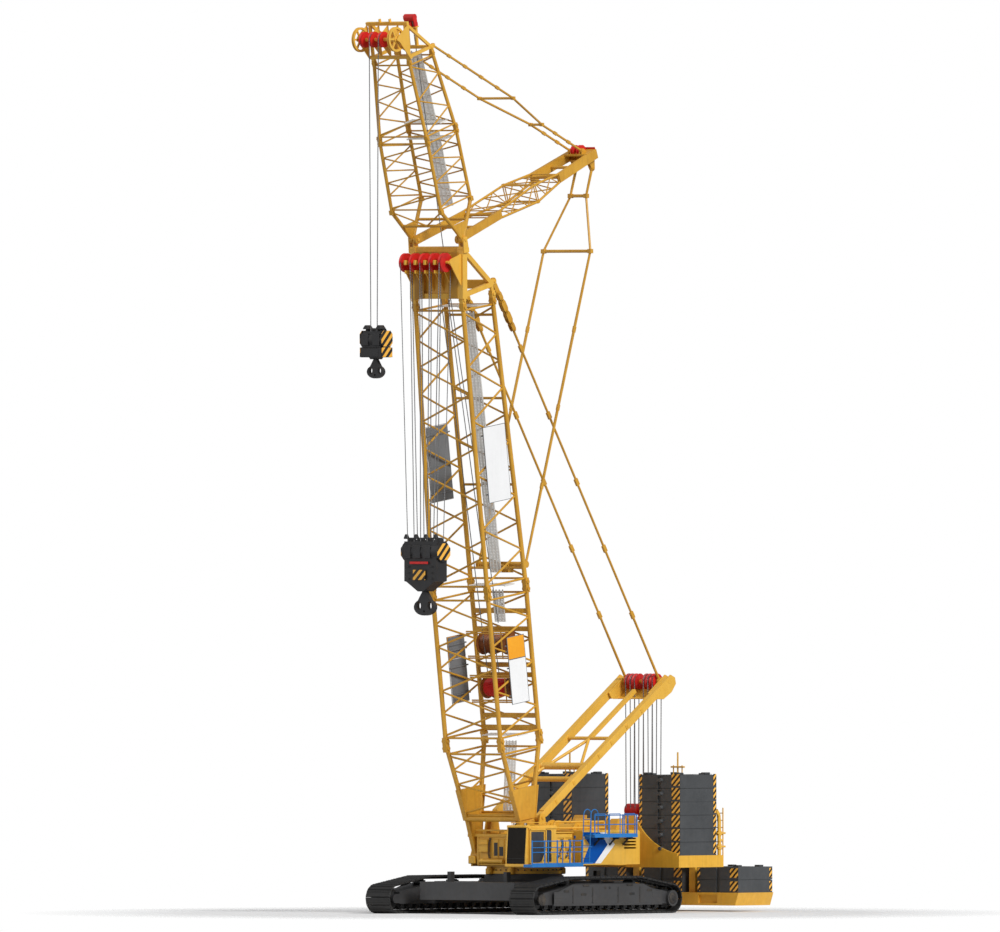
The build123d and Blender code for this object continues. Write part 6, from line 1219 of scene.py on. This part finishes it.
def make_links():
    """Plate links on the boom pendants below the boom head, with their pins."""
    plates, pins = [], []
    links = ((0.5, 0.45, 0.115), (0.9, 0.62, 0.14), (1.46, 0.62, 0.14), (2.02, 0.45, 0.11))
    top = BOOM @ Vector((-1.6, 0, 23.98))
    way = (MAST_HEAD - top).normalized()
    for side in (-1, 1):
        for along, length, width in links:
            place = upright(top + way * along + Y * side * 0.88, way)
            corners = [((sx * width, 0, z), (sx * 0.9, 0, sz * 0.42))
                       for sx in (-1, 1) for z, sz in ((length * 0.25, -1), (length * 0.75, 1))]
            plates += [placed(slab((-width, y, 0), (width, y + 0.025, length), 0.01, corners), place)
                       for y in (-0.1, 0.075)]
            pins += [placed(turned((0, -0.125, z), Y, [(0, 0.05), (0.25, 0.05)], 10), place)
                     for z in (0.08, length - 0.08)]
    fit("pendant_links", "boom_pendants", SHADED_LATTICE_YELLOW, plates + pins)


def make_ballast_details():
    """Lifting knobs and seams on the blocks, feet on top, and the pipe behind."""
    knobs = []
    knob = [(0, 0.1), (0.03, 0.1), (0.05, 0.07), (0.12, 0.06), (0.14, 0.09), (0.17, 0.08)]
    for node in STACKS:
        lo, hi = low(node), high(node)
        middle = hi.y - 1.0
        for i in range(STACK_BLOCKS):
            z = lo.z + (i + 0.5) * (hi.z - lo.z) / STACK_BLOCKS
            knobs.append(turned((hi.x - 0.03, middle, z), X, knob, 14))
            knobs.append(slab((hi.x - 0.02, middle - 0.17, z + 0.16),
                              (hi.x + 0.012, middle + 0.17, z + 0.2), 0.006))
            knobs.append(slab((lo.x + 0.3, hi.y - 0.01, z + 0.235),
                              (hi.x - 0.02, hi.y + 0.006, z + 0.25), 0.002))
        knobs += [slab((x - 0.17, y - 0.12, hi.z - 0.07), (x + 0.17, y + 0.12, hi.z + 0.03), 0.02)
                  for y in (lo.y + 0.25, hi.y - 0.3) for x in (lo.x + 0.35, hi.x - 0.3)]
    fit("ballast_knobs", "superstructure", BALLAST, knobs)
    x, y, clamps = low("ballast_stack_left").x - 0.3, 3.9, (2.73, 3.29)
    pipe = [bent_rod([(x, y, 2.35), (x, y, 3.75), (x + 0.04, y, 4.05), (x + 0.2, y, 4.25)], 0.08, 14)]
    pipe += [slab((x - 0.32, y - 0.12, z - 0.04), (x + 0.2, y + 0.1, z + 0.04), 0.015) for z in clamps]
    pipe += [turned((x, y, z - 0.1), Z, [(0, 0.11), (0.2, 0.11)], 14) for z in clamps]
    fit("rear_pipe", "superstructure", YELLOW, pipe)


def make_deck_pipes():
    """Long pipes over the deck's left side, and the sheave in the jib head's rope guide."""
    pipes = []
    for y, z in ((1.36, 3.8), (1.42, 3.55)):
        route = ((-0.3, z - 0.25), (-0.35, z), (-3.6, z), (-3.7, z - 0.25))
        pipes.append(bent_rod([(SLEW + along, y, height) for along, height in route], 0.038, 10))
        pipes += [turned((SLEW + along, y, z), X, [(0, 0.06), (0.05, 0.06)], 12) for along in (-1.4, -2.6)]
    fit("deck_pipes", "superstructure", YELLOW, pipes)
    groove = [(0, 0.26), (0.03, 0.27), (0.05, 0.22), (0.1, 0.22), (0.12, 0.27), (0.15, 0.26)]
    fit("jib_guide_sheave", "jib", RED, [
        turned((low("jib_rope_guide").x + 0.02, -0.075, 36.93), Y, groove, 28)])


# ---- every piece, in the order of building ---------------------------------------------
make_tracks()
make_track_frame_details()
make_ropes()
make_boom_ropes()
make_boards()
make_stripes()
make_house_panels()
make_lattices()
make_winch_ropes()
make_walks()
make_hook_blocks()
make_cab()
make_deck_front()
make_foot_plates()
make_mast_details()
make_cabinet_details()
make_rails()
make_head_details()
make_ballast_details()
make_deck_pipes()
make_links()
